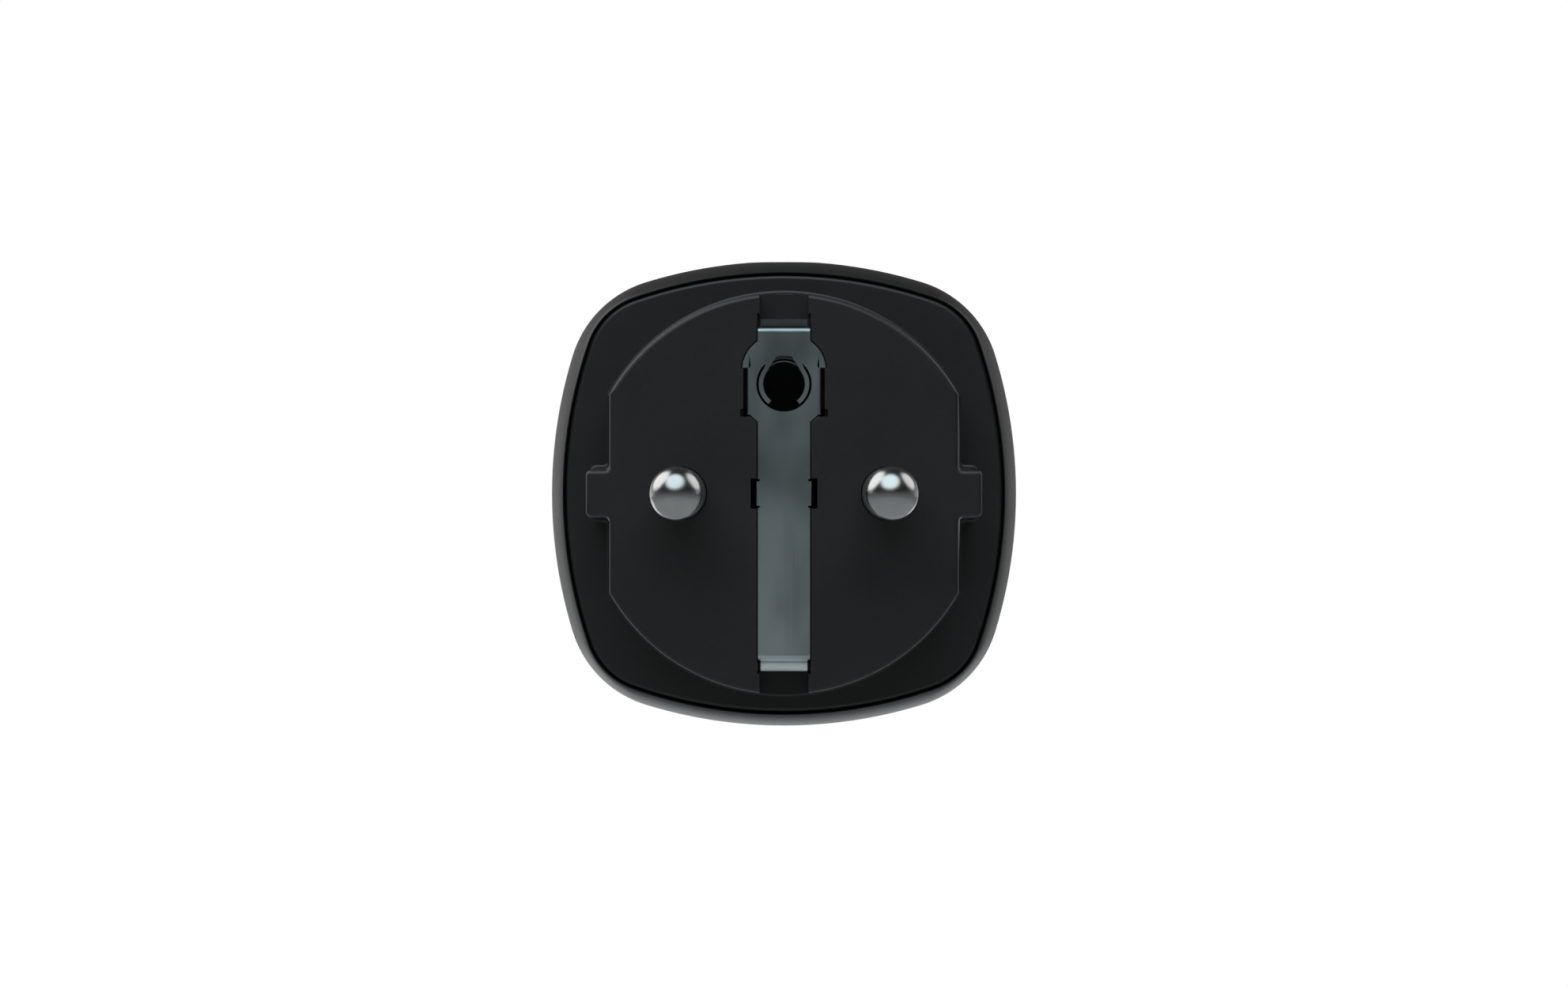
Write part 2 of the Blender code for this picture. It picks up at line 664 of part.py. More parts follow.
def channel_block(side):
    """Inner walls of a side-earth channel, standing in the hollow of the plug."""
    low = CHANNEL_FLOOR_Z - CHANNEL_WALL
    half = CHANNEL_HALF_X + CHANNEL_WALL
    near, far = sorted((side * low, side * (PLUG_R - CHANNEL_WALL_INSET)))
    return box(f"channel_block_{side}", (-half, FACE_THICKNESS - GAP, near),
               (half, CHANNEL_DEPTH + CHANNEL_WALL, far), helper=True)


def channel_cut(side):
    """The channel, from just inside the strip's tongue to the outside of the plug."""
    near, far = sorted((side * CHANNEL_FLOOR_Z, side * (PLUG_R + BEYOND)))
    return box(f"channel_{side}", (-CHANNEL_HALF_X, -GAP, near),
               (CHANNEL_HALF_X, CHANNEL_DEPTH, far), helper=True)


def make_pin(name, side):
    tip = [(PIN_R * math.sin(a), -PIN_LENGTH + PIN_R - PIN_R * math.cos(a))
           for a in (math.pi / 2 * i / 6 for i in range(6, -1, -1))]
    tip[-1] = (0, -PIN_LENGTH)
    collar_y = PIN_BOSS_TOP_Y + GAP
    top = collar_y + PIN_COLLAR_THICKNESS
    profile = [(0, top), (PIN_COLLAR_R, top), (PIN_COLLAR_R, collar_y), (PIN_R, collar_y)] + tip
    return plated(smooth(turned(name, profile, (side * PIN_X, 0, 0))))


def make_earth_strip():
    hole = circle((0, EARTH_HOLE_Z), EARTH_HOLE_R)
    strip = slab("earth_strip", [strip_outline(), hole], "y", STRIP_SINK, STRIP_BACK_Y)
    for side in (-1, 1):
        root_z = side * (STRIP_BEND_Z - STRIP_THICKNESS / 2 - INSET)
        bulge_z = root_z + side * TONGUE_BULGE
        path = [(STRIP_SINK + STRIP_THICKNESS / 2, root_z), (TONGUE_FOLD, root_z),
                (TONGUE_BULGE_START, bulge_z), (TONGUE_BULGE_END, bulge_z),
                (TONGUE_LENGTH, root_z + side * TONGUE_TIP_RISE)]
        tongue = slab(f"tongue_{side}", [ribbon(path, STRIP_THICKNESS)], "x",
                      -TONGUE_HALF_X, TONGUE_HALF_X, helper=True)
        inner, outer = sorted((side * (LUG_OUT_X - STRIP_THICKNESS), side * (LUG_OUT_X - INSET)))
        lug = box(f"lug_{side}", (inner, STRIP_SINK + STRIP_THICKNESS / 2, INSET - LUG_HALF_Z),
                  (outer, LUG_LENGTH, LUG_HALF_Z - INSET), helper=True)
        join(strip, tongue, lug)
    return spring_steel(strip)


def make_earth_pin_sleeve():
    mouth = WELL_BORE_Y + GAP
    straight = mouth + SLEEVE_TAPER
    back = mouth + SLEEVE_LENGTH
    sleeve = turned("earth_pin_sleeve", [
        (SLEEVE_R, back), (SLEEVE_R, straight), (SLEEVE_MOUTH_R, mouth),
        (SLEEVE_MOUTH_R - SLEEVE_WALL, mouth), (SLEEVE_R - SLEEVE_WALL, straight),
        (SLEEVE_R - SLEEVE_WALL, back)], (0, 0, EARTH_HOLE_Z), ring=True)
    slot_end = straight + SLEEVE_SLOT_RUN
    slot = box("sleeve_slot", (-SLEEVE_SLOT / 2, mouth - GAP, EARTH_HOLE_Z - 2 * SLEEVE_R),
               (SLEEVE_SLOT / 2, slot_end, EARTH_HOLE_Z + 2 * SLEEVE_R), helper=True)
    return copper_alloy(cut(sleeve, slot))


def make_earth_link():
    low = (-LINK_HALF_X, FACE_THICKNESS + GAP, -LINK_THICKNESS / 2)
    high = (LINK_HALF_X, STRAP_Y - GAP, LINK_THICKNESS / 2)
    return copper_alloy(box("earth_link", low, high))


def make_busbar(name, side):
    """From under a pin's collar across to the board, which its leg passes through."""
    foot_y = PIN_BOSS_TOP_Y + GAP + PIN_COLLAR_THICKNESS + GAP + BUSBAR_THICKNESS / 2
    leg_z = BUSBAR_LOW_Z + BUSBAR_THICKNESS / 2
    path = [(foot_y, BUSBAR_START_Z), (foot_y, leg_z), (BOARD_TOP_Y + BUSBAR_TAIL, leg_z)]
    low, high = side * PIN_X - BUSBAR_WIDTH / 2, side * PIN_X + BUSBAR_WIDTH / 2
    return copper_alloy(slab(name, [ribbon(path, BUSBAR_THICKNESS)], "x", low, high))


# Power board and relay


def make_main_board():
    holes = [circle((side * PIN_X, 0), CONTACT_OUT_R + BOARD_WEB) for side in (-1, 1)]
    holes.append(circle((0, 0), math.hypot(LINK_HALF_X, LINK_THICKNESS / 2) + BOARD_WEB))
    busbar_half = BUSBAR_WIDTH / 2 + GAP
    leg_half = CONTACT_LEG_HALF_X + GAP
    leg_room = CONTACT_WALL / 2 + GAP
    for side in (-1, 1):
        x = side * PIN_X
        holes.append(rectangle((x - busbar_half, BUSBAR_LOW_Z - GAP),
                               (x + busbar_half, BUSBAR_LOW_Z + BUSBAR_THICKNESS + GAP)))
        holes.append(rectangle((x - leg_half, CONTACT_LEG_Z - leg_room),
                               (x + leg_half, CONTACT_LEG_Z + leg_room)))
    outline = body_outline(BODY_HALF - BOARD_INSET)
    board = slab("main_board", [outline] + holes, "y", BOARD_Y, BOARD_TOP_Y)
    return board_laminate(board)


def make_relay():
    """Slim relay hanging from the back of the board: its case, magnet and contacts."""
    half = RELAY_LENGTH / 2
    low_z, high_z = RELAY_TOP_Z - RELAY_WIDTH, RELAY_TOP_Z
    front_y = UNDER_BOARD_Y - RELAY_STANDOFF
    back_y = front_y - RELAY_HEIGHT
    cover = box("relay_cover", (-half, back_y, low_z), (half, front_y, high_z))
    inside = box("relay_inside", (-half + RELAY_WALL, back_y + RELAY_WALL, low_z + RELAY_WALL),
                 (half - RELAY_WALL, front_y + GAP, high_z - RELAY_WALL), helper=True)
    component_plastic(cut(cover, inside), (38, 60, 120))
    edge = RELAY_WALL + GAP
    base_y = front_y - RELAY_BASE_THICKNESS
    base = box("relay_base", (-half + edge, base_y, low_z + edge),
               (half - edge, front_y, high_z - edge))
    component_plastic(base, (24, 24, 26))
    hinge = (HINGE_X, back_y + RELAY_WALL + HINGE_RISE, (low_z + high_z) / 2)
    make_relay_magnet(hinge, base_y)
    make_relay_contacts(hinge, base_y)


def make_relay_magnet(hinge, base_y):
    """Core, coil, yoke and the armature that turns on the yoke's end."""
    hinge_x, hinge_y, middle_z = hinge
    low_z, high_z = middle_z - STEEL_HALF_Z, middle_z + STEEL_HALF_Z
    core_y = hinge_y + CORE_ABOVE_HINGE
    plate_y = base_y - GAP - YOKE_THICKNESS
    core = rod("relay_core", CORE_R, core_y, plate_y - GAP, (COIL_X, 0, middle_z), steps=16)
    paint(core, "relay_core_iron", (120, 120, 122), 0.4, 1.0)
    coil = tube("relay_coil", COIL_R, COIL_BORE_R, core_y + CORE_TIP, plate_y - 2 * GAP,
                (COIL_X, 0, middle_z), steps=20)
    paint(coil, "relay_coil_winding", (170, 92, 48), 0.4, 0.6)
    yoke_y = plate_y + YOKE_THICKNESS / 2
    yoke_path = [(COIL_X - STEEL_REACH, yoke_y), (hinge_x, yoke_y),
                 (hinge_x, hinge_y + YOKE_ABOVE_HINGE)]
    yoke = slab("relay_yoke", [ribbon(yoke_path, YOKE_THICKNESS)], "z", low_z, high_z)
    paint(yoke, "relay_yoke_iron", (140, 140, 142), 0.4, 1.0)
    arm_x = hinge_x + ARMATURE_ARM_X
    arm_path = [(COIL_X - STEEL_REACH, hinge_y), (arm_x, hinge_y),
                (arm_x, hinge_y + ARMATURE_ARM_LENGTH)]
    armature = slab("relay_armature", [ribbon(arm_path, ARMATURE_THICKNESS)], "z", low_z, high_z)
    paint(armature, "relay_armature_iron", (150, 150, 152), 0.4, 1.0)
    set_origin(armature, hinge)


def make_relay_contacts(hinge, base_y):
    """Blade that the armature pushes, and the fixed contact it meets."""
    hinge_x, hinge_y, middle_z = hinge
    low_z, high_z = middle_z - BLADE_HALF_Z, middle_z + BLADE_HALF_Z
    blade_x = hinge_x + ARMATURE_ARM_X + ARMATURE_THICKNESS / 2 + GAP
    blade = box("relay_contact_blade", (blade_x, hinge_y + BLADE_ABOVE_HINGE, low_z),
                (blade_x + BLADE_THICKNESS, base_y - BLADE_BELOW_BASE, high_z))
    contact_y = base_y - CONTACT_BUTTON_BELOW_BASE
    reach_x = blade_x + CONTACT_BUTTON_REACH
    button = rod("moving_contact", CONTACT_BUTTON_R, blade_x + 2 * INSET, reach_x,
                 (0, contact_y, middle_z), "x", 12, helper=True)
    copper_alloy(join(blade, button))
    set_origin(blade, hinge)
    fixed_x = reach_x + RELAY_CONTACT_GAP
    fixed = box("relay_fixed_contact", (fixed_x, contact_y - FIXED_CONTACT_DROP, low_z),
                (fixed_x + FIXED_CONTACT_THICKNESS, base_y - GAP, high_z))
    copper_alloy(fixed)


def set_origin(obj, at):
    """Moves an object's origin to a point, with its mesh kept where it is."""
    bpy.context.view_layer.update()
    world = obj.matrix_world.copy()
    obj.data.transform(world)
    obj.data.transform(Matrix.Translation([-a * MM for a in at]))
    obj.rotation_euler = (0, 0, 0)
    obj.location = [a * MM for a in at]
    return obj


def make_capacitor(name, side):
    """Electrolytic can with two leads to the board."""
    at = (side * CAPACITOR_X, 0, CAPACITOR_Z)
    front = BOARD_Y - GAP - CAPACITOR_STANDOFF
    back = front - CAPACITOR_HEIGHT
    groove = front - CAPACITOR_GROOVE_AT
    can = turned(name, [
        (0, front),
        (CAPACITOR_R, front),
        (CAPACITOR_R, groove + CAPACITOR_EDGE),
        (CAPACITOR_R - CAPACITOR_GROOVE_DEPTH, groove),
        (CAPACITOR_R, groove - CAPACITOR_EDGE),
        (CAPACITOR_R, back + CAPACITOR_EDGE),
        (CAPACITOR_R - CAPACITOR_EDGE, back),
        (0, back)], at)
    for offset in (-CAPACITOR_LEAD_X, CAPACITOR_LEAD_X):
        lead = rod(f"{name}_lead_{offset}", LEAD_R, front - LEAD_BURY, BOARD_Y - GAP,
                   (at[0] + offset, 0, at[2]), steps=8, helper=True)
        join(can, lead)
    return component_plastic(smooth(can), (22, 30, 60))


def on_board(place):
    """A place given by its height above the power board."""
    x, height, z = place
    return (x, ON_BOARD_Y + height, z)


def package(name, size, colour):
    """Plain rectangular component standing on the power board."""
    (low_x, high_x), (low_z, high_z), height = size
    low, high = on_board((low_x, 0, low_z)), on_board((high_x, height, high_z))
    return component_plastic(box(name, low, high), colour)


def make_small_components():
    package("bridge_rectifier", BRIDGE_RECTIFIER, (26, 26, 28))
    package("switcher_chip", SWITCHER_CHIP, (24, 24, 26))
    package("metering_chip", METERING_CHIP, (24, 24, 26))
    package("x_capacitor", FILM_CAPACITOR, (176, 148, 36))
    shunt_path = [(x, ON_BOARD_Y + height) for x, height in SHUNT_PATH]
    copper_alloy(slab("shunt_resistor", [ribbon(shunt_path, SHUNT_THICKNESS)], "z", *SHUNT_Z))
    fuse = turned("fuse_resistor", FUSE_PROFILE, on_board(FUSE_PLACE), "x", 16)
    component_plastic(smooth(fuse), (92, 120, 104))
    varistor = turned("varistor", VARISTOR_PROFILE, on_board(VARISTOR_PLACE), "z")
    component_plastic(smooth(varistor), (34, 84, 150))
    inductor = turned("power_inductor", INDUCTOR_PROFILE, on_board(INDUCTOR_PLACE))
    component_plastic(smooth(inductor), (30, 30, 32))


# Radio, switch and status light


def make_radio():
    board = box("wifi_board", (WIFI_BOARD_X[0], ON_BOARD_Y, WIFI_BOARD_Z[0]),
                (WIFI_BOARD_X[1], ON_BOARD_Y + WIFI_BOARD_HEIGHT, WIFI_BOARD_Z[1]))
    board_laminate(board)
    low_y, high_y = (ON_BOARD_Y + height for height in WIFI_SHIELD_HEIGHTS)
    shield = box("wifi_shield", (WIFI_SHIELD_X[0], low_y, WIFI_SHIELD_Z[0]),
                 (WIFI_SHIELD_X[1], high_y, WIFI_SHIELD_Z[1]))
    return plated(shield)


def make_control_board():
    low_y, high_y = ON_BOARD_Y + CONTROL_BOARD_RISE, SHUTTER_TOP_Y - CONTROL_BOARD_EASE
    board = box("control_board", (-CONTROL_BOARD_HALF_X, low_y, CONTROL_BOARD_Z),
                (CONTROL_BOARD_HALF_X, high_y, CONTROL_BOARD_Z + CONTROL_BOARD_THICKNESS))
    board_laminate(board)
    high_z = CONTROL_BOARD_Z - GAP
    connector = box("board_connector", (-CONNECTOR_HALF_X, ON_BOARD_Y, high_z - CONNECTOR_THICKNESS),
                    (CONNECTOR_HALF_X, ON_BOARD_Y + CONNECTOR_HEIGHT, high_z))
    component_plastic(connector, (30, 30, 32))


def make_tact_switch():
    half = SWITCH_SIDE / 2
    at = (0, BUTTON_Y, 0)
    body = box("tact_switch_body", (-half, BUTTON_Y - half, SWITCH_BASE_Z),
               (half, BUTTON_Y + half, SWITCH_TOP_Z))
    floor_z = SWITCH_BASE_Z + SWITCH_FLOOR
    well = rod("switch_well", PLUNGER_R + SLIDE_GAP, floor_z, SWITCH_TOP_Z + GAP, at, "z",
               helper=True)
    component_plastic(cut(body, well), (28, 28, 30))
    dome_z = floor_z + GAP
    plunger_low = dome_z + DOME_HEIGHT + GAP + BUTTON_TRAVEL
    plunger = rod("tact_switch_plunger", PLUNGER_R, plunger_low, PLUNGER_TOP_Z, at, "z")
    component_plastic(smooth(plunger), (26, 26, 28))
    dome = turned("tact_switch_dome", DOME_PROFILE, (0, BUTTON_Y, dome_z), "z")
    spring_steel(smooth(dome))


def make_button_cap():
    """Round cap flush with the top of the body, with a flange that keeps it in."""
    flange_top = BODY_HALF - SHELL_WALL - GAP - BUTTON_FLANGE_DROP
    flange_low = flange_top - BUTTON_FLANGE_THICKNESS
    stem_low = PLUNGER_TOP_Z + GAP
    profile = [
        (0, BODY_HALF), (BUTTON_R - BUTTON_EDGE, BODY_HALF), (BUTTON_R, BODY_HALF - BUTTON_EDGE),
        (BUTTON_R, flange_top), (BUTTON_FLANGE_R, flange_top), (BUTTON_FLANGE_R, flange_low),
        (BUTTON_STEM_R, flange_low), (BUTTON_STEM_R, stem_low), (0, stem_low)]
    return black_plastic(smooth(turned("button_cap", profile, (0, BUTTON_Y, 0), "z")))


def corner_box(name, near, far, half_width, low_y, high_y, angle, helper=False):
    """Box standing on the corner diagonal, between two distances from the axis."""
    outline = turn(rectangle((near, -half_width), (far, half_width)), angle)
    return slab(name, [outline], "y", low_y, high_y, helper)


def make_status_light():
    """Two diodes on the corners of the board, and the ring whose legs stand over them."""
    ring = slab("light_ring", [
        body_outline(BODY_HALF - RING_INSET), circle((0, 0), INSERT_R + GAP, ROUND)],
        "y", RING_Y, RING_Y + RING_THICKNESS)
    near = INSERT_R + GAP + RING_LEG_EASE
    far = near + RING_LEG_DEPTH
    led_far = near + LED_LEG_OVERLAP
    led_top_y = ON_BOARD_Y + LED_HEIGHT
    for name, angle in LED_ANGLES:
        diode = corner_box(f"status_led_{name}", near - RING_LEG_DEPTH, led_far, LED_HALF,
                           ON_BOARD_Y, led_top_y, angle)
        paint(diode, f"status_led_{name}_lens", (235, 235, 220), 0.3)
        leg = corner_box(f"ring_leg_{name}", near, far, RING_LEG_HALF, led_top_y + GAP,
                         RING_Y + RING_THICKNESS / 2, angle, helper=True)
        join(ring, leg)
    return paint(ring, "light_ring_clear", (214, 218, 220), 0.35)


# Socket side


def make_socket_contact(name, side):
    """Slit tube that grips a plug's pin, with a leg down through the board."""
    at = (side * PIN_X, 0, 0)
    contact = tube(name, CONTACT_OUT_R, CONTACT_IN_R, CONTACT_Y, CONTACT_TOP_Y, at)
    slit_y = BOARD_TOP_Y + CONTACT_SLIT_START
    slit = box(f"{name}_slit", (side * PIN_X - CONTACT_SLIT / 2, slit_y, -2 * PIN_R),
               (side * PIN_X + CONTACT_SLIT / 2, CONTACT_TOP_Y + GAP, 2 * PIN_R), helper=True)
    leg_y = BOARD_TOP_Y + CONTACT_LEG_RISE
    path = [(leg_y, CONTACT_OUT_R - CONTACT_WALL / 2), (leg_y, CONTACT_LEG_Z),
            (BOARD_Y - GAP, CONTACT_LEG_Z)]
    leg = slab(f"{name}_leg", [ribbon(path, CONTACT_WALL)], "x",
               side * PIN_X - CONTACT_LEG_HALF_X, side * PIN_X + CONTACT_LEG_HALF_X, helper=True)
    return copper_alloy(cut(join(contact, leg), slit))


def make_contact_carrier():
    """Plate that guides the socket contacts and carries the shutter on its hollow post."""
    outline = [(CARRIER_HALF_X - CARRIER_CHAMFER, -CARRIER_HALF_Z),
               (CARRIER_HALF_X, -CARRIER_HALF_Z + CARRIER_CHAMFER)]
    outline += [(u, -v) for u, v in reversed(outline)]
    outline += [(-u, -v) for u, v in outline]
    carrier = slab("contact_carrier", [outline], "y", CARRIER_Y, CARRIER_TOP_Y)
    join(carrier, rod("shutter_post", POST_R, CARRIER_Y + GAP, SHUTTER_TOP_Y, (0, 0, 0),
                      helper=True))
    bore_r = CONTACT_OUT_R + GAP
    guide_y = CARRIER_Y - CARRIER_TUBE_LENGTH
    for side in (-1, 1):
        at = (side * PIN_X, 0, 0)
        join(carrier, rod(f"contact_guide_{side}", bore_r + CARRIER_TUBE_WALL, guide_y,
                          CARRIER_Y + GAP, at, helper=True))
        for up in (-1, 1):
            at = (side * (CARRIER_HALF_X - PILLAR_INSET), 0, up * PILLAR_Z)
            join(carrier, rod(f"carrier_pillar_{side}_{up}", PILLAR_R, CARRIER_Y + GAP,
                              INSERT_BACK_Y - GAP, at, steps=12, helper=True))
    bores = (
        ("post_bore", POST_BORE_R, 0), ("left_bore", bore_r, -PIN_X), ("right_bore", bore_r, PIN_X))
    for name, radius, x in bores:
        cut(carrier, rod(name, radius, guide_y - GAP, SHUTTER_TOP_Y + GAP, (x, 0, 0), steps=28,
                         helper=True))
    return white_plastic(carrier)


def make_shutter():
    """Two blades on a hub: at rest each blade lies behind a pin hole."""
    hub_r = POST_R + GAP + SHUTTER_HUB_WALL
    root = math.asin(SHUTTER_BLADE_ROOT / hub_r)
    half = SHUTTER_HALF_ANGLE
    outline = []
    for start in (0.0, math.pi):
        outline += arc((0, 0), SHUTTER_R, start - half, start + half, 6)
        outline += arc((0, 0), hub_r, start + root, start + math.pi - root, 4)
    shutter = slab("shutter", [outline, circle((0, 0), POST_R + GAP)], "y",
                   SHUTTER_Y, SHUTTER_TOP_Y)
    spring_room = rod("spring_room", POST_R + GAP + SPRING_ROOM_WIDTH, SHUTTER_Y - GAP,
                      SHUTTER_Y + SPRING_ROOM, (0, 0, 0), helper=True)
    return white_plastic(cut(shutter, spring_room))


def make_shutter_spring():
    """Torsion spring round the post, in the room under the shutter's hub."""
    radius = POST_R + GAP + SPRING_ROOM_WIDTH / 2
    low = SHUTTER_Y + SPRING_WIRE_R
    curve = bpy.data.curves.new("shutter_spring", "CURVE")
    curve.dimensions = "3D"
    curve.bevel_depth = SPRING_WIRE_R * MM
    curve.bevel_resolution = 2
    curve.use_fill_caps = True
    spline = curve.splines.new("POLY")
    spline.points.add(SPRING_TURNS * SPRING_STEPS)
    for i, point in enumerate(spline.points):
        angle = 2 * math.pi * i / SPRING_STEPS
        height = low + SPRING_PITCH * i / SPRING_STEPS
        point.co = (radius * math.cos(angle) * MM, height * MM, radius * math.sin(angle) * MM, 1)
    return spring_steel(mesh_of(bpy.data.objects.new("shutter_spring", curve), helper=False))


def make_socket_earth_strap():
    """Strap behind the recess, with an arm up each side that touches a plug's earth contact."""
    base = STRAP_Y + CLIP_THICKNESS / 2
    floor = RECESS_FLOOR_Y
    upper = [
        (base, CLIP_ROOT_Z), (floor + CLIP_BOW_FOOT, CLIP_ROOT_Z),
        (floor + CLIP_BOW_START, CLIP_CONTACT_Z), (floor + CLIP_BOW_END, CLIP_CONTACT_Z),
        (floor + CLIP_HEIGHT, CLIP_ROOT_Z + CLIP_TIP_FLARE)]
    path = [(u, -v) for u, v in reversed(upper)] + upper
    strap = slab("socket_earth_strap", [ribbon(path, CLIP_THICKNESS)], "x",
                 -CLIP_HALF_X, CLIP_HALF_X)
    return spring_steel(strap)


def make_socket_insert():
    """Recess that a plug goes into, with its bezel round the front."""
    insert = rod("socket_insert", INSERT_R, INSERT_BACK_Y, BEZEL_Y + GAP, (0, 0, 0), steps=ROUND)
    bezel = slab("bezel", [body_outline(BODY_HALF - BEZEL_INSET)], "y", BEZEL_Y, BODY_FRONT_Y,
                 helper=True)
    outline = flatted_circle(RECESS_R, RECESS_FLAT_X, RECESS_GROOVE_X, RECESS_GROOVE_HALF_Z)
    recess = slab("recess", [outline], "y", RECESS_FLOOR_Y, BODY_FRONT_Y + GAP, helper=True)
    join(insert, bezel)
    cut(insert, recess)
    for side in (-1, 1):
        hole = rod(f"socket_hole_{side}", PIN_HOLE_R, INSERT_BACK_Y - GAP, RECESS_FLOOR_Y + GAP,
                   (side * PIN_X, 0, 0), helper=True)
        near, far = sorted((side * (CLIP_ROOT_Z - CLIP_SLOT_IN), side * (RECESS_R - CLIP_SLOT_WALL)))
        slot = box(f"clip_slot_{side}", (-CLIP_HALF_X - GAP, INSERT_BACK_Y - GAP, near),
                   (CLIP_HALF_X + GAP, RECESS_FLOOR_Y + GAP, far), helper=True)
        cut(insert, hole, slot)
    return black_plastic(insert)


def shell_half(y):
    """Half width of the shell along the plug axis: an arc to the widest, then a slow taper."""
    widest_y = FLANGE_Y + SHELL_WIDEST_FROM_REAR
    if y < widest_y:
        share = (widest_y - y) / SHELL_WIDEST_FROM_REAR
        drop = 1 - math.sqrt(1 - (SHELL_FLARE * share) ** 2)
        return BODY_HALF - SHELL_REAR_INSET * drop / SHELL_FLARE_DROP
    share = (y - widest_y) / (SHELL_FRONT_Y - widest_y)
    return BODY_HALF - SHELL_FRONT_INSET * share**2


def make_outer_shell():
    rear = [FLANGE_Y + SHELL_WIDEST_FROM_REAR * share for share in SHELL_FLARE_STATIONS]
    front = [rear[-1] + (SHELL_FRONT_Y - rear[-1]) * share for share in SHELL_TAPER_STATIONS]
    shell = loft("outer_shell", [(y, body_outline(shell_half(y))) for y in rear + front])
    mouth = slab("shell_mouth", [body_outline(MOUTH_HALF)], "y",
                 FLANGE_Y - GAP, FLANGE_TOP_Y + GAP, helper=True)
    wall = BODY_HALF - SHELL_WALL
    ledge = slab("shell_throat", [body_outline(wall - SHELL_LEDGE)], "y",
                 FLANGE_TOP_Y, FLANGE_TOP_Y + GAP + SHELL_LEDGE_LENGTH + GAP, helper=True)
    room_y = FLANGE_TOP_Y + GAP + SHELL_LEDGE_LENGTH
    room = slab("shell_room", [body_outline(wall)], "y", room_y, SHELL_FRONT_Y + GAP, helper=True)
    hole = rod("button_hole", BUTTON_R + SLIDE_GAP, BODY_HALF - BUTTON_HOLE_DEPTH,
               BODY_HALF + BEYOND, (0, BUTTON_Y, 0), "z", helper=True)
    return black_plastic(cut(shell, mouth, ledge, room, hole))


def build():
    clear_scene()
    make_rear_cover()
    for name, side in LEFT_RIGHT:
        make_pin(f"{name}_pin", side)
        make_busbar(f"{name}_busbar", side)
        make_socket_contact(f"{name}_contact", side)
    make_earth_strip()
    make_earth_pin_sleeve()
    make_earth_link()
    make_main_board()
    make_relay()
    make_capacitor("bulk_capacitor_left", -1)
    make_capacitor("bulk_capacitor_right", 1)
    make_small_components()
    make_radio()
    make_control_board()
    make_tact_switch()
    make_button_cap()
    make_status_light()
    make_contact_carrier()
    make_shutter()
    make_shutter_spring()
    make_socket_earth_strap()
    make_socket_insert()
    make_outer_shell()


build()
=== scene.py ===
# %% [markdown]
# # A smart plug, seen from its pins
# The real thing is a moulded black body with a round plug behind and a shuttered socket in
# front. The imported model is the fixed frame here: it has every piece at its true size and
# place. This file remakes the pieces that an eye meets, with their real edges and folds, and
# gives the pieces inside better finishes.

import math

import bmesh
import bpy
from mathutils import Matrix, Vector


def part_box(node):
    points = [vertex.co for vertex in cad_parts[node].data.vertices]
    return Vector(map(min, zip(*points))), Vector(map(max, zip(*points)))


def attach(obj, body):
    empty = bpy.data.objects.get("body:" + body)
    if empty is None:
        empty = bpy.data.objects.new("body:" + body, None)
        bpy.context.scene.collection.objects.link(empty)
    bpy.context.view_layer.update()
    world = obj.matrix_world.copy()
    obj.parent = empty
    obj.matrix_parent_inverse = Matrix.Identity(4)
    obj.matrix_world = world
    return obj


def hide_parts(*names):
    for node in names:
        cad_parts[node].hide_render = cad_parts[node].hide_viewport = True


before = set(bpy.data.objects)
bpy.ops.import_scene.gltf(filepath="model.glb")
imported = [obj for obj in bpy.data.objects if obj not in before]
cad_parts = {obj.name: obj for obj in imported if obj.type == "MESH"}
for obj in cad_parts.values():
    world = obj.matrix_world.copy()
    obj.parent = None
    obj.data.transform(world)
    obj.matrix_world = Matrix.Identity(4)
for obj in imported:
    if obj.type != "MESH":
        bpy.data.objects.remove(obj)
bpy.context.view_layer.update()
MM = 0.001

# %% [markdown]
# ## Camera
# A long lens about half a metre from the plug looks straight at the pins, level with them and
# midway between them. At that distance the sides of the body, which widen away from the
# camera, show as a narrow rim.

# %% Place the camera
CAMERA_DISTANCE = 0.516
FOCAL_LENGTH = 129.75

camera = bpy.data.objects.new("camera", bpy.data.cameras.new("camera"))
camera.data.lens = FOCAL_LENGTH
camera.data.sensor_width = 36
camera.data.clip_start = 0.01
camera.location = (0, -CAMERA_DISTANCE, 0)
camera.rotation_euler = (math.pi / 2, 0, 0)
bpy.context.scene.collection.objects.link(camera)
bpy.context.scene.camera = camera
bpy.context.scene.view_settings.view_transform = "Standard"
print("camera", CAMERA_DISTANCE, "m in front of the plug face")

# %% [markdown]
# ## Node arithmetic
# Shaders are graphs of nodes, and long chains of Math nodes are hard to read when each one is
# linked by hand. A small class that wraps an output and overloads the operators lets a sum be
# written as a sum. Everything else goes through one method that adds a node of any type.


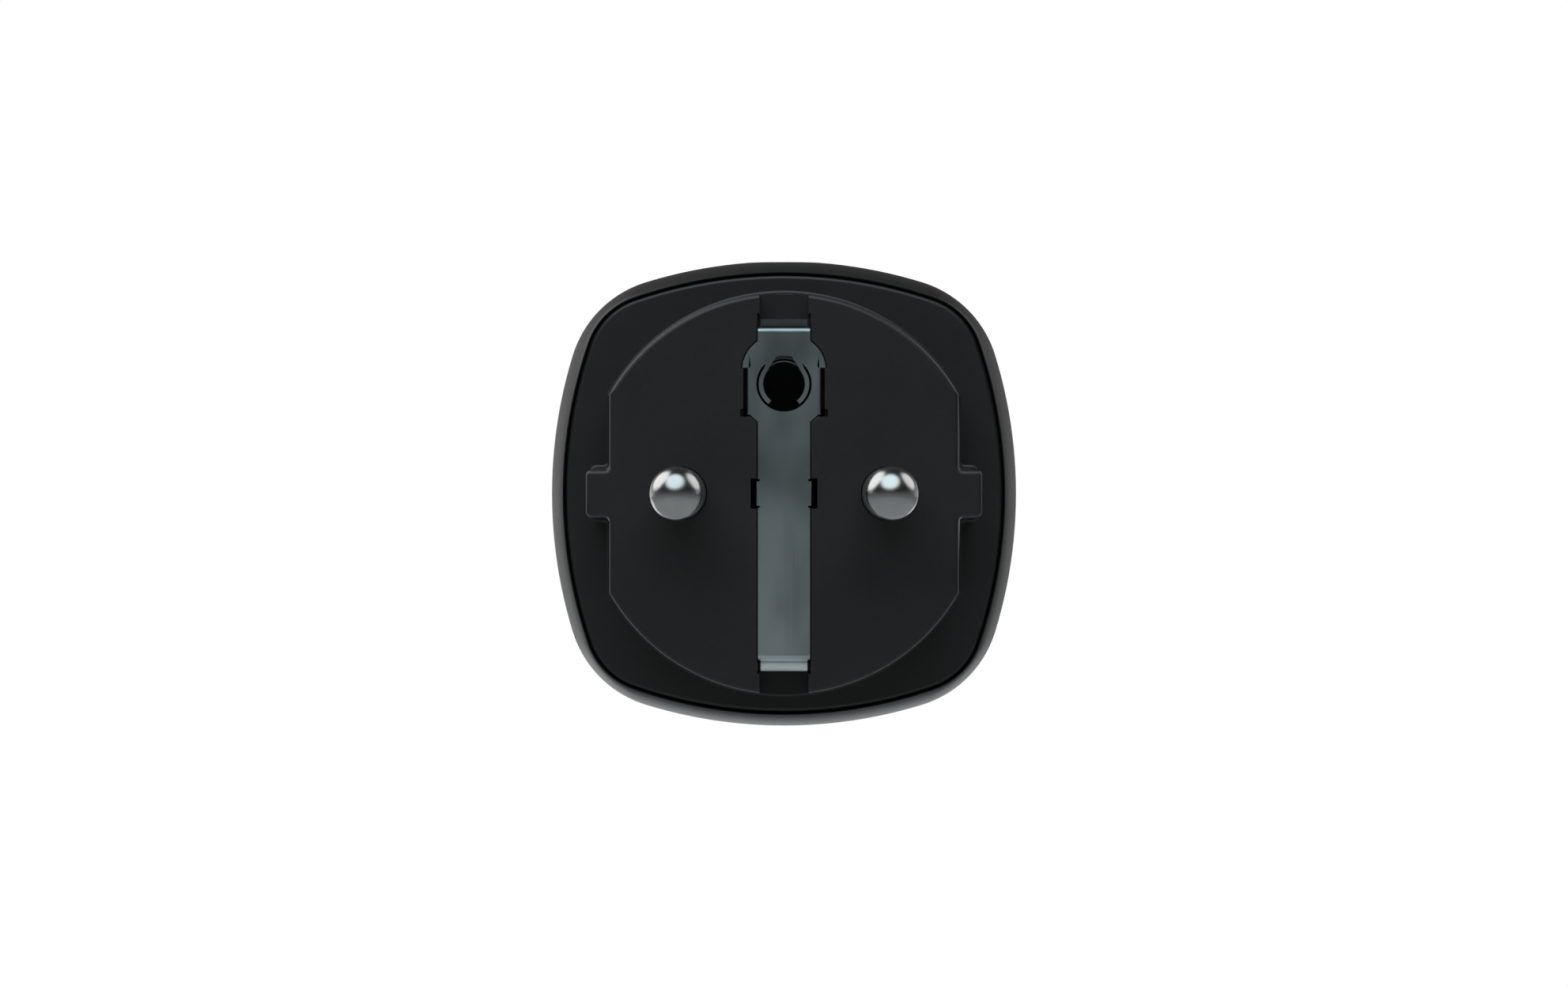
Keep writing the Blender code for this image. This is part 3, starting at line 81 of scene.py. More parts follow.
# %% A wire that can be added, multiplied and mixed
class Wire:
    """An output of a node. Each operator adds one Math node behind it."""

    def __init__(self, tree, socket):
        self.tree = tree
        self.socket = socket

    def maths(self, operation, *terms):
        node = self.tree.nodes.new("ShaderNodeMath")
        node.operation = operation
        for slot, term in zip(node.inputs, terms):
            connect(self.tree, slot, term)
        return Wire(self.tree, node.outputs[0])

    def __getitem__(self, name):
        """Another output of the same node."""
        return Wire(self.tree, self.socket.node.outputs[name])

    def __add__(self, other):
        return self.maths("ADD", self, other)

    def __sub__(self, other):
        return self.maths("SUBTRACT", self, other)

    def __rsub__(self, other):
        return self.maths("SUBTRACT", other, self)

    def __mul__(self, other):
        return self.maths("MULTIPLY", self, other)

    def __truediv__(self, other):
        return self.maths("DIVIDE", self, other)

    def __gt__(self, other):
        return self.maths("GREATER_THAN", self, other)

    def __lt__(self, other):
        return self.maths("LESS_THAN", self, other)

    __radd__ = __add__
    __rmul__ = __mul__

    def smooth(self, low, high):
        """0 below low, 1 above high, and an even slope between them."""
        return self.maths("MULTIPLY", (self - low) / (high - low), 1.0).clamped()

    def clamped(self):
        self.socket.node.use_clamp = True
        return self


def connect(tree, slot, term):
    """Links a wire to an input, or sets the input's own value."""
    if isinstance(term, Wire):
        tree.links.new(term.socket, slot)
    elif slot.type == "RGBA":
        slot.default_value = (*term[:3], 1.0)
    else:
        slot.default_value = term


# %% [markdown]
# The second helper holds the tree of one material or of the world. A node's settings are set
# before its inputs, because some of them change which inputs a node has.


# %% One method for every other node
class Tree:
    """The node tree of a material or of the world."""

    def __init__(self, owner):
        owner.use_nodes = True
        self.tree = owner.node_tree
        self.owner = owner

    def add(self, kind, settings=None, inputs=None, output=0):
        """Adds a node and gives one of its outputs. Colour stops are set as (place, colour)."""
        node = self.tree.nodes.new(kind)
        for name, value in (settings or {}).items():
            if name == "stops":
                ramp = node.color_ramp.elements
                while len(ramp) < len(value):
                    ramp.new(0.5)
                for stop, (place, colour) in zip(ramp, value):
                    stop.position = place
                    stop.color = (*colour, 1.0)
            else:
                setattr(node, name, value)
        for name, value in (inputs or {}).items():
            connect(self.tree, node.inputs[name], value)
        return Wire(self.tree, node.outputs[output])

    def blend(self, share, first, second):
        """A colour between two others."""
        node = self.tree.nodes.new("ShaderNodeMix")
        node.data_type = "RGBA"
        colours = [slot for slot in node.inputs if slot.type == "RGBA"]
        for slot, term in zip([node.inputs[0], *colours], (share, first, second)):
            connect(self.tree, slot, term)
        return Wire(self.tree, [slot for slot in node.outputs if slot.type == "RGBA"][0])


print("helpers ready: Wire and Tree")

# %% [markdown]
# ## Light
# A product like this is shot on white. The world gives that room: white to the camera, and
# to every surface a dark ceiling, grey low down and brighter behind the plug, with three
# soft-edged glows. A cool one is high behind the camera, and one hangs at each side a little
# behind the plug. Plated pins show the dark gaps between them as bands. The light behind
# fades upwards, to the right and straight behind, which keeps the flared sides even.


# %% Build the room
def srgb(red, green, blue):
    """Linear colour of an 8-bit display colour."""
    channels = [channel / 255 for channel in (red, green, blue)]
    return [c / 12.92 if c <= 0.04045 else ((c + 0.055) / 1.055) ** 2.4 for c in channels]


COOL = (0.78, 0.94, 1.0)
LOW_GREY = 0.24
TOP_GREY = 0.02
BACK_GREY = 0.72
HIGH_STRENGTH = 2.1
LEFT_STRENGTH = 1.9
RIGHT_STRENGTH = 1.5

world = bpy.data.worlds.new("white_room")
bpy.context.scene.world = world
room = Tree(world)
way = room.add("ShaderNodeTexCoord", output="Generated")
turned_way = room.add("ShaderNodeSeparateXYZ", inputs={"Vector": way})
side_way, depth, height = turned_way["X"], turned_way["Y"], turned_way["Z"]


def eased(value, low, high):
    """0 below low, 1 above high, and a slope that starts and ends gently."""
    return room.add("ShaderNodeMapRange", {"interpolation_type": "SMOOTHSTEP"},
                    {"Value": value, "From Min": low, "From Max": high})


def glow(towards, core, edge):
    """A round light in the room: full up to one angle from its middle, gone at another."""
    facing = room.add("ShaderNodeVectorMath", {"operation": "DOT_PRODUCT"},
                      {0: way, 1: Vector(towards).normalized()}, output="Value")
    return eased(facing, math.cos(math.radians(edge)), math.cos(math.radians(core)))


high_glow = glow((-0.10, -0.58, 0.81), 24, 42)
left_glow = glow((-0.74, 0.26, 0.62), 22, 36)
right_glow = glow((0.78, 0.26, 0.57), 18, 30)
low_share = 1 - eased(height, -0.25, 0.25)
fading_up = 1 - 0.93 * eased(height, -0.1, 0.45)
fading_right = 1 - 0.4 * eased(side_way, -0.3, 0.5)
fading_back = 1 - 0.5 * eased(depth, 0.85, 1.0)
behind = eased(depth, 0.1, 0.8) * fading_up * fading_right * fading_back
grey = TOP_GREY + low_share * LOW_GREY + behind * BACK_GREY
grey = grey + high_glow * HIGH_STRENGTH + left_glow * LEFT_STRENGTH
grey = grey + right_glow * RIGHT_STRENGTH
tint = room.blend(high_glow, (1, 1, 1), COOL)
surroundings = room.add("ShaderNodeBackground", inputs={"Color": tint, "Strength": grey})
backdrop = room.add("ShaderNodeBackground", inputs={"Color": (1, 1, 1), "Strength": 1.0})
seen = room.add("ShaderNodeLightPath", output="Is Camera Ray")
both = room.add("ShaderNodeMixShader", inputs={0: seen, 1: surroundings, 2: backdrop})
room_output = [node for node in room.tree.nodes if node.type == "OUTPUT_WORLD"][0]
room.tree.links.new(both.socket, room_output.inputs["Surface"])
print("room greys: low", LOW_GREY, "behind", BACK_GREY, "overhead", TOP_GREY)

# %% [markdown]
# One wide box low down behind the plug lights the underside of the flare. Its spread is
# narrowed, so that its edge leaves only a faint line on the floor. The floor is pale
# paper. To the camera it is one tone, and to everything else its colour is painted darker
# with distance, a painted shade of light falling off, so that the pins mirror a floor that
# fades towards the horizon.


# %% Hang the low box and lay the floor
SPREAD = 120
LOW_BOX_SIZE = (1.10, 0.30)
LOW_BOX_RADIANCE = 0.5
FLOOR_DROP = 0.30
FLOOR_HALF = 2.6
PAPER_GREY = 0.42
PAPER_FADE = 0.55
FADE_FROM, FADE_TO = 0.32, 1.8


def soft_box(name, place, size, radiance, colour):
    """A square area light that faces the plug. Its power gives the radiance asked for."""
    light = bpy.data.lights.new(name, "AREA")
    light.shape = "RECTANGLE"
    light.size, light.size_y = size
    light.color = colour
    light.energy = radiance * math.pi * size[0] * size[1]
    light.spread = math.radians(SPREAD)
    lamp = bpy.data.objects.new(name, light)
    lamp.location = place
    lamp.rotation_euler = Vector(place).to_track_quat("Z", "Y").to_euler()
    lamp.visible_camera = False
    bpy.context.scene.collection.objects.link(lamp)
    return lamp


NEUTRAL = (1.0, 1.0, 1.0)
soft_box("low_box", (-0.10, 0.62, -0.24), LOW_BOX_SIZE, LOW_BOX_RADIANCE, NEUTRAL)

edit = bmesh.new()
bmesh.ops.create_grid(edit, x_segments=1, y_segments=1, size=FLOOR_HALF)
bmesh.ops.translate(edit, verts=edit.verts, vec=(0, 0, -FLOOR_DROP))
floor_mesh = bpy.data.meshes.new("floor")
edit.to_mesh(floor_mesh)
edit.free()
floor = bpy.data.objects.new("floor", floor_mesh)
bpy.context.scene.collection.objects.link(floor)
paper = bpy.data.materials.new("pale_paper")
paper_tree = Tree(paper)
paper_shader = paper_tree.tree.nodes["Principled BSDF"]
spot = paper_tree.add("ShaderNodeTexCoord", output="Object")
away = paper_tree.add("ShaderNodeVectorMath", {"operation": "LENGTH"}, {0: spot}, output="Value")
painted_shade_far_off = paper_tree.add("ShaderNodeMapRange", {"interpolation_type": "SMOOTHSTEP"},
                         {"Value": away, "From Min": FADE_FROM, "From Max": FADE_TO})
looked_at = paper_tree.add("ShaderNodeLightPath", output="Is Camera Ray")
# painted shade: to reflections the paper's colour darkens with distance from the plug, standing for light
# that falls off
painted_fall_off = 1 - (1 - looked_at) * painted_shade_far_off * PAPER_FADE
paper_tone = paper_tree.blend(painted_fall_off, (0, 0, 0), (PAPER_GREY, PAPER_GREY, PAPER_GREY))
connect(paper_tree.tree, paper_shader.inputs["Base Color"], paper_tone)
paper_shader.inputs["Roughness"].default_value = 0.9
floor.data.materials.append(paper)
print("one low box behind, floor", FLOOR_DROP, "m under the plug axis")

# %% [markdown]
# ## Outlines
# Most pieces of this body are one outline carried along the plug axis with a changing margin:
# a bowed square, or a circle with two flats. An outline is made in a scratch edit mesh with
# spins, cuts and corner bevels, and then read back in order. Each point keeps the way out of
# the outline beside it, so that a margin of any width stays even all round.


# %% Read an outline back from an edit mesh
def trace(edit):
    """The open border of an edit mesh: ordered (point, way out) pairs across the plug axis."""
    beside = {}
    for edge in edit.edges:
        if len(edge.link_faces) < 2:
            for vert in edge.verts:
                beside.setdefault(vert, []).append(edge.other_vert(vert))
    before, here = None, next(iter(beside))
    points = []
    while not points or here is not first:
        if not points:
            first = here
        points.append(Vector((here.co.x, here.co.z)))
        ahead = beside[here]
        before, here = here, ahead[0] if ahead[0] is not before else ahead[1]
    edit.free()
    turned = sum(a.cross(b) for a, b in zip(points, points[1:] + points[:1]))
    if turned < 0:
        points.reverse()
    return with_ways_out(points)


def with_ways_out(points):
    """Pairs each point with the mitre between its two edges, for an even margin."""
    pairs = []
    for i, point in enumerate(points):
        back = (point - points[i - 1]).normalized()
        ahead = (points[(i + 1) % len(points)] - point).normalized()
        sides = Vector((back.y, -back.x)), Vector((ahead.y, -ahead.x))
        pairs.append((point, (sides[0] + sides[1]) / (1 + sides[0].dot(sides[1]))))
    return pairs


# %% [markdown]
# The body seen along its axis is a square whose sides bow outwards on long arcs and whose
# corners are short arcs. One vertex spun twice draws a side and a corner, and the quarter
# turned three times closes the outline. The sizes come from the shell's box in the frame.

# %% Body outline
shell_low, shell_high = (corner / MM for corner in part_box("outer_shell"))
BODY_HALF = shell_high.x
SIDE_R = 45.0
CORNER_R = 10.7
SIDE_CENTRE = BODY_HALF - SIDE_R
ACROSS = (0, -1, 0)  # the axis that turns x towards z


def spin(edit, geometry, centre, angle, steps, axis=ACROSS, copy=False):
    """A spin with its settings filled in. It gives the last step's geometry."""
    return bmesh.ops.spin(
        edit, geom=geometry, cent=centre, axis=axis, dvec=(0, 0, 0), angle=angle,
        steps=steps, use_merge=False, use_duplicate=copy)["geom_last"]


def body_outline(half, corner_r=None):
    """The outline at a half width. Without a corner radius it is an even offset of the widest."""
    side_r = SIDE_R + half - BODY_HALF
    corner_r = corner_r or CORNER_R + half - BODY_HALF
    reach = side_r - corner_r
    centre = (SIDE_CENTRE + math.sqrt(2 * reach**2 - SIDE_CENTRE**2)) / 2
    side_angle = math.atan2(centre, centre - SIDE_CENTRE)
    edit = bmesh.new()
    start = edit.verts.new((
        SIDE_CENTRE + side_r * math.cos(side_angle), 0, -side_r * math.sin(side_angle)))
    end = spin(edit, [start], (SIDE_CENTRE, 0, 0), 2 * side_angle, 24)
    spin(edit, end, (centre, 0, centre), math.pi / 2 - 2 * side_angle, 18)
    quarter = edit.verts[:] + edit.edges[:]
    spin(edit, quarter, (0, 0, 0), 3 * math.pi / 2, 3, copy=True)
    bmesh.ops.remove_doubles(edit, verts=edit.verts, dist=0.001)
    return trace(edit)


print("body outline:", len(body_outline(BODY_HALF)), "points,", 2 * BODY_HALF, "mm across")

# %% [markdown]
# A sweep carries outlines along the axis. Each station gives an outline, a margin and a
# place on the axis, and each step is one extrusion of the last ring of edges. Round edges
# come from stations on an arc, which keeps them exact at any size.


# %% Sweep and bend
def bend(centre, radius, start, end, steps=6):
    """(margin, place) points on an arc, with its angles in degrees."""
    angles = [math.radians(start + (end - start) * i / steps) for i in range(steps + 1)]
    return [(centre[0] + radius * math.cos(a), centre[1] + radius * math.sin(a)) for a in angles]


def along(outline, profile):
    """Stations of one outline for a profile of (margin, place) points."""
    return [(outline, margin, place) for margin, place in profile]


def finished_mesh(name, edit):
    """Turns an edit mesh in millimetres into an object in metres, facing outwards."""
    bmesh.ops.recalc_face_normals(edit, faces=edit.faces)
    bmesh.ops.scale(edit, vec=(MM, MM, MM), verts=edit.verts)
    mesh = bpy.data.meshes.new(name)
    edit.to_mesh(mesh)
    edit.free()
    piece = bpy.data.objects.new(name, mesh)
    bpy.context.scene.collection.objects.link(piece)
    return piece


def next_ring(edit, ring, edges, places):
    """Extrudes a ring of edges and moves the new ring to its places."""
    made = bmesh.ops.extrude_edge_only(edit, edges=edges)["geom"]
    fresh = {item for item in made if isinstance(item, bmesh.types.BMVert)}
    follow = [next(edge.other_vert(vert) for edge in vert.link_edges
                   if edge.other_vert(vert) in fresh) for vert in ring]
    for vert, place in zip(follow, places):
        vert.co = place
    edges = [item for item in made
             if isinstance(item, bmesh.types.BMEdge) and set(item.verts) <= fresh]
    return follow, edges


def sweep(name, stations, closed=False):
    """Carries outlines of equal counts along the plug axis. Closed joins its two ends."""
    edit = bmesh.new()
    ring = []
    for outline, margin, place in stations:
        places = [(point.x + out.x * margin, place, point.y + out.y * margin)
                  for point, out in outline]
        if ring:
            ring, edges = next_ring(edit, ring, edges, places)
        else:
            ring = [edit.verts.new(at) for at in places]
            edges = [edit.edges.new(pair) for pair in zip(ring, ring[1:] + ring[:1])]
            first = edges
    if closed:
        bmesh.ops.bridge_loops(edit, edges=first + edges)
    else:
        bmesh.ops.contextual_create(edit, geom=first)
        bmesh.ops.contextual_create(edit, geom=edges)
    return finished_mesh(name, edit)


# %% [markdown]
# Round pieces are a profile spun a full turn. A full spin has to merge its last step with
# its first, and the points on the axis, which the spin repeats at every step, are welded.


# %% Lathe
AXIS_TURNS = {"y": Matrix.Identity(3), "z": Matrix.Rotation(math.pi / 2, 3, "X")}


def lathe(name, profile, at, axis="y", steps=96, closed=False):
    """Spins a profile of (radius, place) points about an axis through a point."""
    edit = bmesh.new()
    chain = [edit.verts.new((radius, place, 0)) for radius, place in profile]
    links = [edit.edges.new(pair) for pair in zip(chain, chain[1:])]
    if closed:
        links.append(edit.edges.new((chain[-1], chain[0])))
    bmesh.ops.spin(
        edit, geom=chain + links, cent=(0, 0, 0), axis=(0, 1, 0), dvec=(0, 0, 0),
        angle=2 * math.pi, steps=steps, use_merge=True, use_duplicate=False)
    bmesh.ops.remove_doubles(edit, verts=edit.verts, dist=0.0001)
    bmesh.ops.rotate(edit, cent=(0, 0, 0), matrix=AXIS_TURNS[axis], verts=edit.verts)
    bmesh.ops.translate(edit, verts=edit.verts, vec=at)
    return finished_mesh(name, edit)


def rod(name, radius, low, high, at, axis="y", steps=96):
    return lathe(name, [(0, low), (radius, low), (radius, high), (0, high)], at, axis, steps)


def block(name, low, high):
    """A box between two corners, from a unit cube."""
    edit = bmesh.new()
    bmesh.ops.create_cube(edit, size=1.0)
    low, high = Vector(low), Vector(high)
    bmesh.ops.scale(edit, vec=high - low, verts=edit.verts)
    bmesh.ops.translate(edit, vec=(low + high) / 2, verts=edit.verts)
    return finished_mesh(name, edit)


# %% [markdown]
# Holes and pockets are cut with exact Booleans, and the result is kept as the piece's own
# mesh, so no cutter stays in the scene. The last helper gives a finished piece its smooth
# shading, names the body it moves with and the plain nodes it stands for.


# %% Carve and finish
def carve(piece, *tools, operation="DIFFERENCE"):
    """Cuts tools from a piece, or joins them to it, and removes the tools."""
    for tool in tools:
        modifier = piece.modifiers.new("carve", "BOOLEAN")
        modifier.operation = operation
        modifier.solver = "EXACT"
        modifier.object = tool
    bpy.context.view_layer.update()
    graph = bpy.context.evaluated_depsgraph_get()
    carved = bpy.data.meshes.new_from_object(piece.evaluated_get(graph))
    carved.name = piece.name
    piece.modifiers.clear()
    piece.data = carved
    for tool in tools:
        bpy.data.objects.remove(tool, do_unlink=True)
    return piece


def stand_in(piece, body, slot, *nodes, sharp=32):
    """Shades a finished piece, puts it on its body and lets it stand for plain nodes."""
    piece.data.shade_smooth()
    piece.data.set_sharp_from_angle(angle=math.radians(sharp))
    shading = piece.modifiers.new("even_shading", "WEIGHTED_NORMAL")
    shading.keep_sharp = True
    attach(piece, body)
    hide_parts(*nodes)
    print(piece.name, len(piece.data.polygons), "faces, for", ", ".join(nodes))
    return piece


# %% [markdown]
# ## Plug outline
# The plug body is a disc with a flat on each side, and each flat has a guide tab that keys
# it into a socket. The disc is a filled circle, two plane cuts make the flats, and the tabs
# are the middle stretch of each flat pulled outwards. Then the corners are rounded.

# %% Plug outline
cover_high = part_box("rear_cover")[1] / MM
PLUG_DEPTH = shell_low.y
FILLET = 0.5
CORNER_STEPS = 4


def cut_plane(edit, at, way, drop=False):
    """Cuts everything with a plane, and drops what lies beyond it if asked."""
    everything = edit.verts[:] + edit.edges[:] + edit.faces[:]
    bmesh.ops.bisect_plane(edit, geom=everything, plane_co=at, plane_no=way, clear_outer=drop)


def disc(radius, steps):
    """A filled circle that faces along the plug axis."""
    edit = bmesh.new()
    bmesh.ops.create_circle(edit, cap_ends=True, radius=radius, segments=steps)
    bmesh.ops.rotate(edit, cent=(0, 0, 0), verts=edit.verts,
                     matrix=Matrix.Rotation(math.pi / 2, 3, "X"))
    return edit


def flatted_disc(radius, flat, tab_x, tab_z, inner_corner, outer_corner, steps=160):
    edit = disc(radius, steps)
    for side in (-1, 1):
        cut_plane(edit, (side * flat, 0, 0), (side, 0, 0), drop=True)
    for side in (-1, 1):
        cut_plane(edit, (0, 0, side * tab_z), (0, 0, side))
    for side in (-1, 1):
        ends = [edge for edge in edit.edges
                if all(abs(v.co.x - side * flat) < 0.001 for v in edge.verts)
                and abs(edge.verts[0].co.z + edge.verts[1].co.z) < 0.001]
        made = bmesh.ops.extrude_edge_only(edit, edges=ends)["geom"]
        fresh = [item for item in made if isinstance(item, bmesh.types.BMVert)]
        bmesh.ops.translate(edit, verts=fresh, vec=(side * (tab_x - flat), 0, 0))
    bmesh.ops.dissolve_faces(edit, faces=edit.faces[:])
    for reach, offset in ((tab_x, outer_corner), (flat, inner_corner)):
        corners = [v for v in edit.verts
                   if abs(abs(v.co.x) - reach) < 0.001 and abs(abs(v.co.z) - tab_z) < 0.001]
        bmesh.ops.bevel(edit, geom=corners, offset=offset, affect="VERTICES",
                        segments=CORNER_STEPS, profile=0.5, material=-1)
    return trace(edit)


PLUG_R = 18.35
PLUG_FLAT = 15.96
TAB_END = 18.1
TAB_HALF = 2.13
DRAFT = 0.45
TAB_DRAFT = 0.24
face_outline = flatted_disc(PLUG_R, PLUG_FLAT, TAB_END, TAB_HALF, 0.4, 0.45)
foot_outline = flatted_disc(
    PLUG_R + DRAFT, PLUG_FLAT + DRAFT, TAB_END, TAB_HALF + TAB_DRAFT, 0.62, 0.45)
print("plug outline:", len(face_outline), "points at the face,", len(foot_outline), "at the foot")

# %% [markdown]
# ## Rear cover
# One moulding: the plug body with its draft, and the plate that closes the shell behind it.
# The two sweeps overlap and are joined. The plug's front edge is rounded, and a hollow
# fillet runs round its foot.

# %% Rear cover: plate and plug body
FACE_EDGE = 0.4
PLATE_BACK = cover_high.y
SEAT_STEP = 0.4
SEAT_MARGIN = 0.8
RIM_INSET = 1.33
RIM_CORNER_R = 7.0
PLATE_MARGIN = -0.30
PLATE_EDGE = 0.4
rim_outline = body_outline(BODY_HALF - RIM_INSET, RIM_CORNER_R)
plate_seat = PLATE_MARGIN - SEAT_MARGIN
plate = [(plate_seat, PLATE_BACK), (plate_seat, PLATE_BACK - SEAT_STEP),
         (PLATE_MARGIN, PLATE_BACK - SEAT_STEP)]
plate += bend((PLATE_MARGIN - PLATE_EDGE, PLUG_DEPTH + PLATE_EDGE), PLATE_EDGE, 0, -90)
cover = sweep("rear_cover_moulding", along(rim_outline, plate))
foot = [(FILLET, PLUG_DEPTH + FILLET)]
foot += bend((FILLET, PLUG_DEPTH + 0.02 - FILLET), FILLET, 90, 180)
crown = bend((-FACE_EDGE, FACE_EDGE), FACE_EDGE, 0, -90)
plug_body = sweep("plug_body", along(foot_outline, foot) + along(face_outline, crown))
carve(cover, plug_body, operation="UNION")
print("rear cover: plate and plug", len(cover.data.polygons), "faces")

# %% [markdown]
# The cover is a thin wall, so its inside is hollow apart from a well round the earth hole,
# a boss round each pin and a box round each side channel. The hollow's own tool gets those
# shapes cut out of it first, which leaves them standing when it cuts the cover.

# %% Rear cover: hollow
pin_low, pin_high = (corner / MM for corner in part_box("line_pin"))
PIN_X = (pin_low.x + pin_high.x) / 2
EARTH_Z = 10.0
WALL = 1.9
FACE_WALL = 1.8
WELL_TOP = 15.8
CHANNEL_DEPTH = 12.0
CHANNEL_HALF = 2.27
INNER_Z = 13.6

hollow_outline = flatted_disc(PLUG_R - WALL, PLUG_FLAT - WALL, PLUG_FLAT - WALL + 0.3,
                              TAB_HALF, 0.1, 0.1)
hollow = sweep("hollow", along(hollow_outline, [(0, FACE_WALL), (0, PLATE_BACK + 1)]))
keep = [rod("well", 4.2, FACE_WALL - 0.1, WELL_TOP, (0, 0, EARTH_Z), steps=48)]
for side in (-1, 1):
    keep.append(rod(f"boss_{side}", 4.0, FACE_WALL - 0.1, 7.0, (side * PIN_X, 0, 0), steps=48))
    near, far = sorted((side * INNER_Z, side * (PLUG_R + 1)))
    keep.append(block(f"channel_walls_{side}", (-CHANNEL_HALF - 1.0, FACE_WALL - 0.1, near),
                      (CHANNEL_HALF + 1.0, CHANNEL_DEPTH + 1.0, far)))
carve(hollow, *keep)
carve(cover, hollow)
print("rear cover: hollow cut,", len(cover.data.polygons), "faces")

# %% [markdown]
# ## The earth strip's shape
# A pressed steel strip lies sunk in the plug face, with a widened head round the earth hole.
# Its blank is drawn once, as half an outline that a mirror completes, because the pocket in
# the plastic follows the same line a hair wider.

# %% Strip outline
STRIP_HALF = 2.38
STRIP_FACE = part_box("earth_strip")[0].y / MM
STRIP_SHEET = 0.42
END_BEND = 0.45
END_Z = 15.2 - END_BEND
TONGUE_HALF = 2.15
LUG_HALF = 1.12
LUG_BEND = 0.3
LUG_X = 2.6 - LUG_BEND
RELIEF = 0.2
HEAD_X = 3.46
HEAD_BEND = 0.36
SHOULDER_Z = 11.48
SHOULDER_R = 3.2
SHOULDER_CENTRE = (0.61, 11.26)
HEAD_FOOT = 7.2


def shoulder_points():
    """The round shoulder, from its foot up to the band."""
    return bend(SHOULDER_CENTRE, SHOULDER_R, 3.97, 55.96, 12)


def half_blank():
    """Right half of the blank, from the foot of the band up, as (x, z) points."""
    fold = HEAD_X - HEAD_BEND
    points = [(0, -END_Z), (TONGUE_HALF, -END_Z), (STRIP_HALF, -END_Z)]
    points += [(STRIP_HALF, -LUG_HALF - RELIEF), (LUG_X - 0.1, -LUG_HALF - RELIEF),
               (LUG_X - 0.1, -LUG_HALF), (LUG_X, -LUG_HALF)]
    points += [(x, -z) for x, z in reversed(points[3:])]
    points += [(STRIP_HALF, 6.53), (3.02, 7.12), (fold, HEAD_FOOT), (fold, SHOULDER_Z)]
    points += [(fold - 0.05, 11.75), (fold + 0.05, 12.6), (fold + 0.12, 11.9),
               (fold + 0.12, SHOULDER_Z)]
    points += shoulder_points()
    points += [(STRIP_HALF, END_Z), (TONGUE_HALF, END_Z), (0, END_Z)]
    return points


def pocket_outline():
    """Outline of the pocket, which skips the folds and slits of the strip."""
    right = [(STRIP_HALF, -15.4), (STRIP_HALF, 6.53), (3.02, 7.12), (HEAD_X, HEAD_FOOT),
             (HEAD_X, SHOULDER_Z), *shoulder_points(), (STRIP_HALF, 15.4)]
    left = [(-x, z) for x, z in reversed(right)]
    return with_ways_out([Vector(point) for point in right + left])


print("blank:", 2 * len(half_blank()), "points")

# %% [markdown]
# ## Cuts in the plug face
# The tools of the panels, the pocket and the pin holes flare a little at the surface, which rounds their
# edges as a mould does.
# The face has two very shallow panels, the strip's pocket, slots for its folds, a deep
# channel at each end, holes for the pins and the earth hole.

# %% Rear cover: panels and pocket
PANEL_R = 16.57
PANEL_FLAT = 14.3
PANEL_DEPTH = 0.07
PANEL_SLOPE = 0.14


def panel_outline(side):
    """One shallow panel: a disc segment with a step beside the strip's head."""
    edit = disc(PANEL_R, 128)
    cut_plane(edit, (side * PANEL_FLAT, 0, 0), (side, 0, 0), drop=True)
    cut_plane(edit, (side * 3.65, 0, 0), (-side, 0, 0), drop=True)
    cut_plane(edit, (0, 0, 5.92), (0, 0, 1))
    cut_plane(edit, (side * 5.09, 0, 0), (side, 0, 0))
    notch = [face for face in edit.faces
             if face.calc_center_median().z > 5.92 and abs(face.calc_center_median().x) < 5.09]
    bmesh.ops.delete(edit, geom=notch, context="FACES")
    return trace(edit)


def pocket_profile(margin, depth, edge=0.1):
    """A straight-sided pocket with its mouth flared by a round edge."""
    return [(margin + edge, -0.5), *bend((margin + edge, edge), edge, -90, -180, 4), (margin, depth)]


tools = []
for side in (-1, 1):
    slope = [(PANEL_SLOPE * 1.5, -PANEL_DEPTH / 2), (0, PANEL_DEPTH)]
    tools.append(sweep(f"panel_{side}", along(panel_outline(side), slope)))
pocket_depth = STRIP_FACE + STRIP_SHEET + 0.25
tools.append(sweep("pocket", along(pocket_outline(), pocket_profile(0.1, pocket_depth, 0.08))))
carve(cover, *tools)
print("rear cover: panels and pocket,", len(cover.data.polygons), "faces")


# %% Rear cover: slots, channels and holes
def slot_tool(name, low_x, high_x, low_z, high_z, depth):
    """A straight slot into the plug face."""
    low_x, high_x = sorted((low_x, high_x))
    low_z, high_z = sorted((low_z, high_z))
    return block(name, (low_x, -0.6, low_z), (high_x, depth, high_z))


PIN_R = 2.4
PIN_HOLE_R = PIN_R + 0.07
EARTH_R = 2.525
tools = []
for side in (-1, 1):
    tools.append(slot_tool(f"lug_slot_{side}", side * 2.1, side * 3.05, -1.37, 1.37, 3.7))
    tools.append(slot_tool(f"fold_slot_{side}", side * 3.0, side * 3.72, 7.05, 11.9, 3.1))
    tools.append(slot_tool(f"slot_foot_{side}", side * 3.0, side * 4.0, 7.02, 7.7, 1.4))
    tools.append(slot_tool(f"channel_{side}", -CHANNEL_HALF, CHANNEL_HALF,
                           side * (END_Z - 0.5), side * (PLUG_R + 3), CHANNEL_DEPTH))
    tools.append(slot_tool(f"tongue_room_{side}", -2.46, 2.46,
                           side * (END_Z - 0.3), side * 16.5, CHANNEL_DEPTH - 1))
    hole = [(0, -0.5), (PIN_HOLE_R + 0.12, -0.5), *bend((PIN_HOLE_R + 0.12, 0.12), 0.12, -90, -180, 4),
            (PIN_HOLE_R, 7.6), (0, 7.6)]
    tools.append(lathe(f"pin_hole_{side}", hole, (side * PIN_X, 0, 0)))
well = [(0, -0.4), (EARTH_R + 0.05, -0.4), (EARTH_R + 0.05, 1.2), (3.2, 1.2), (3.2, 14.8), (0, 14.8)]
tools.append(lathe("earth_well", well, (0, 0, EARTH_Z)))
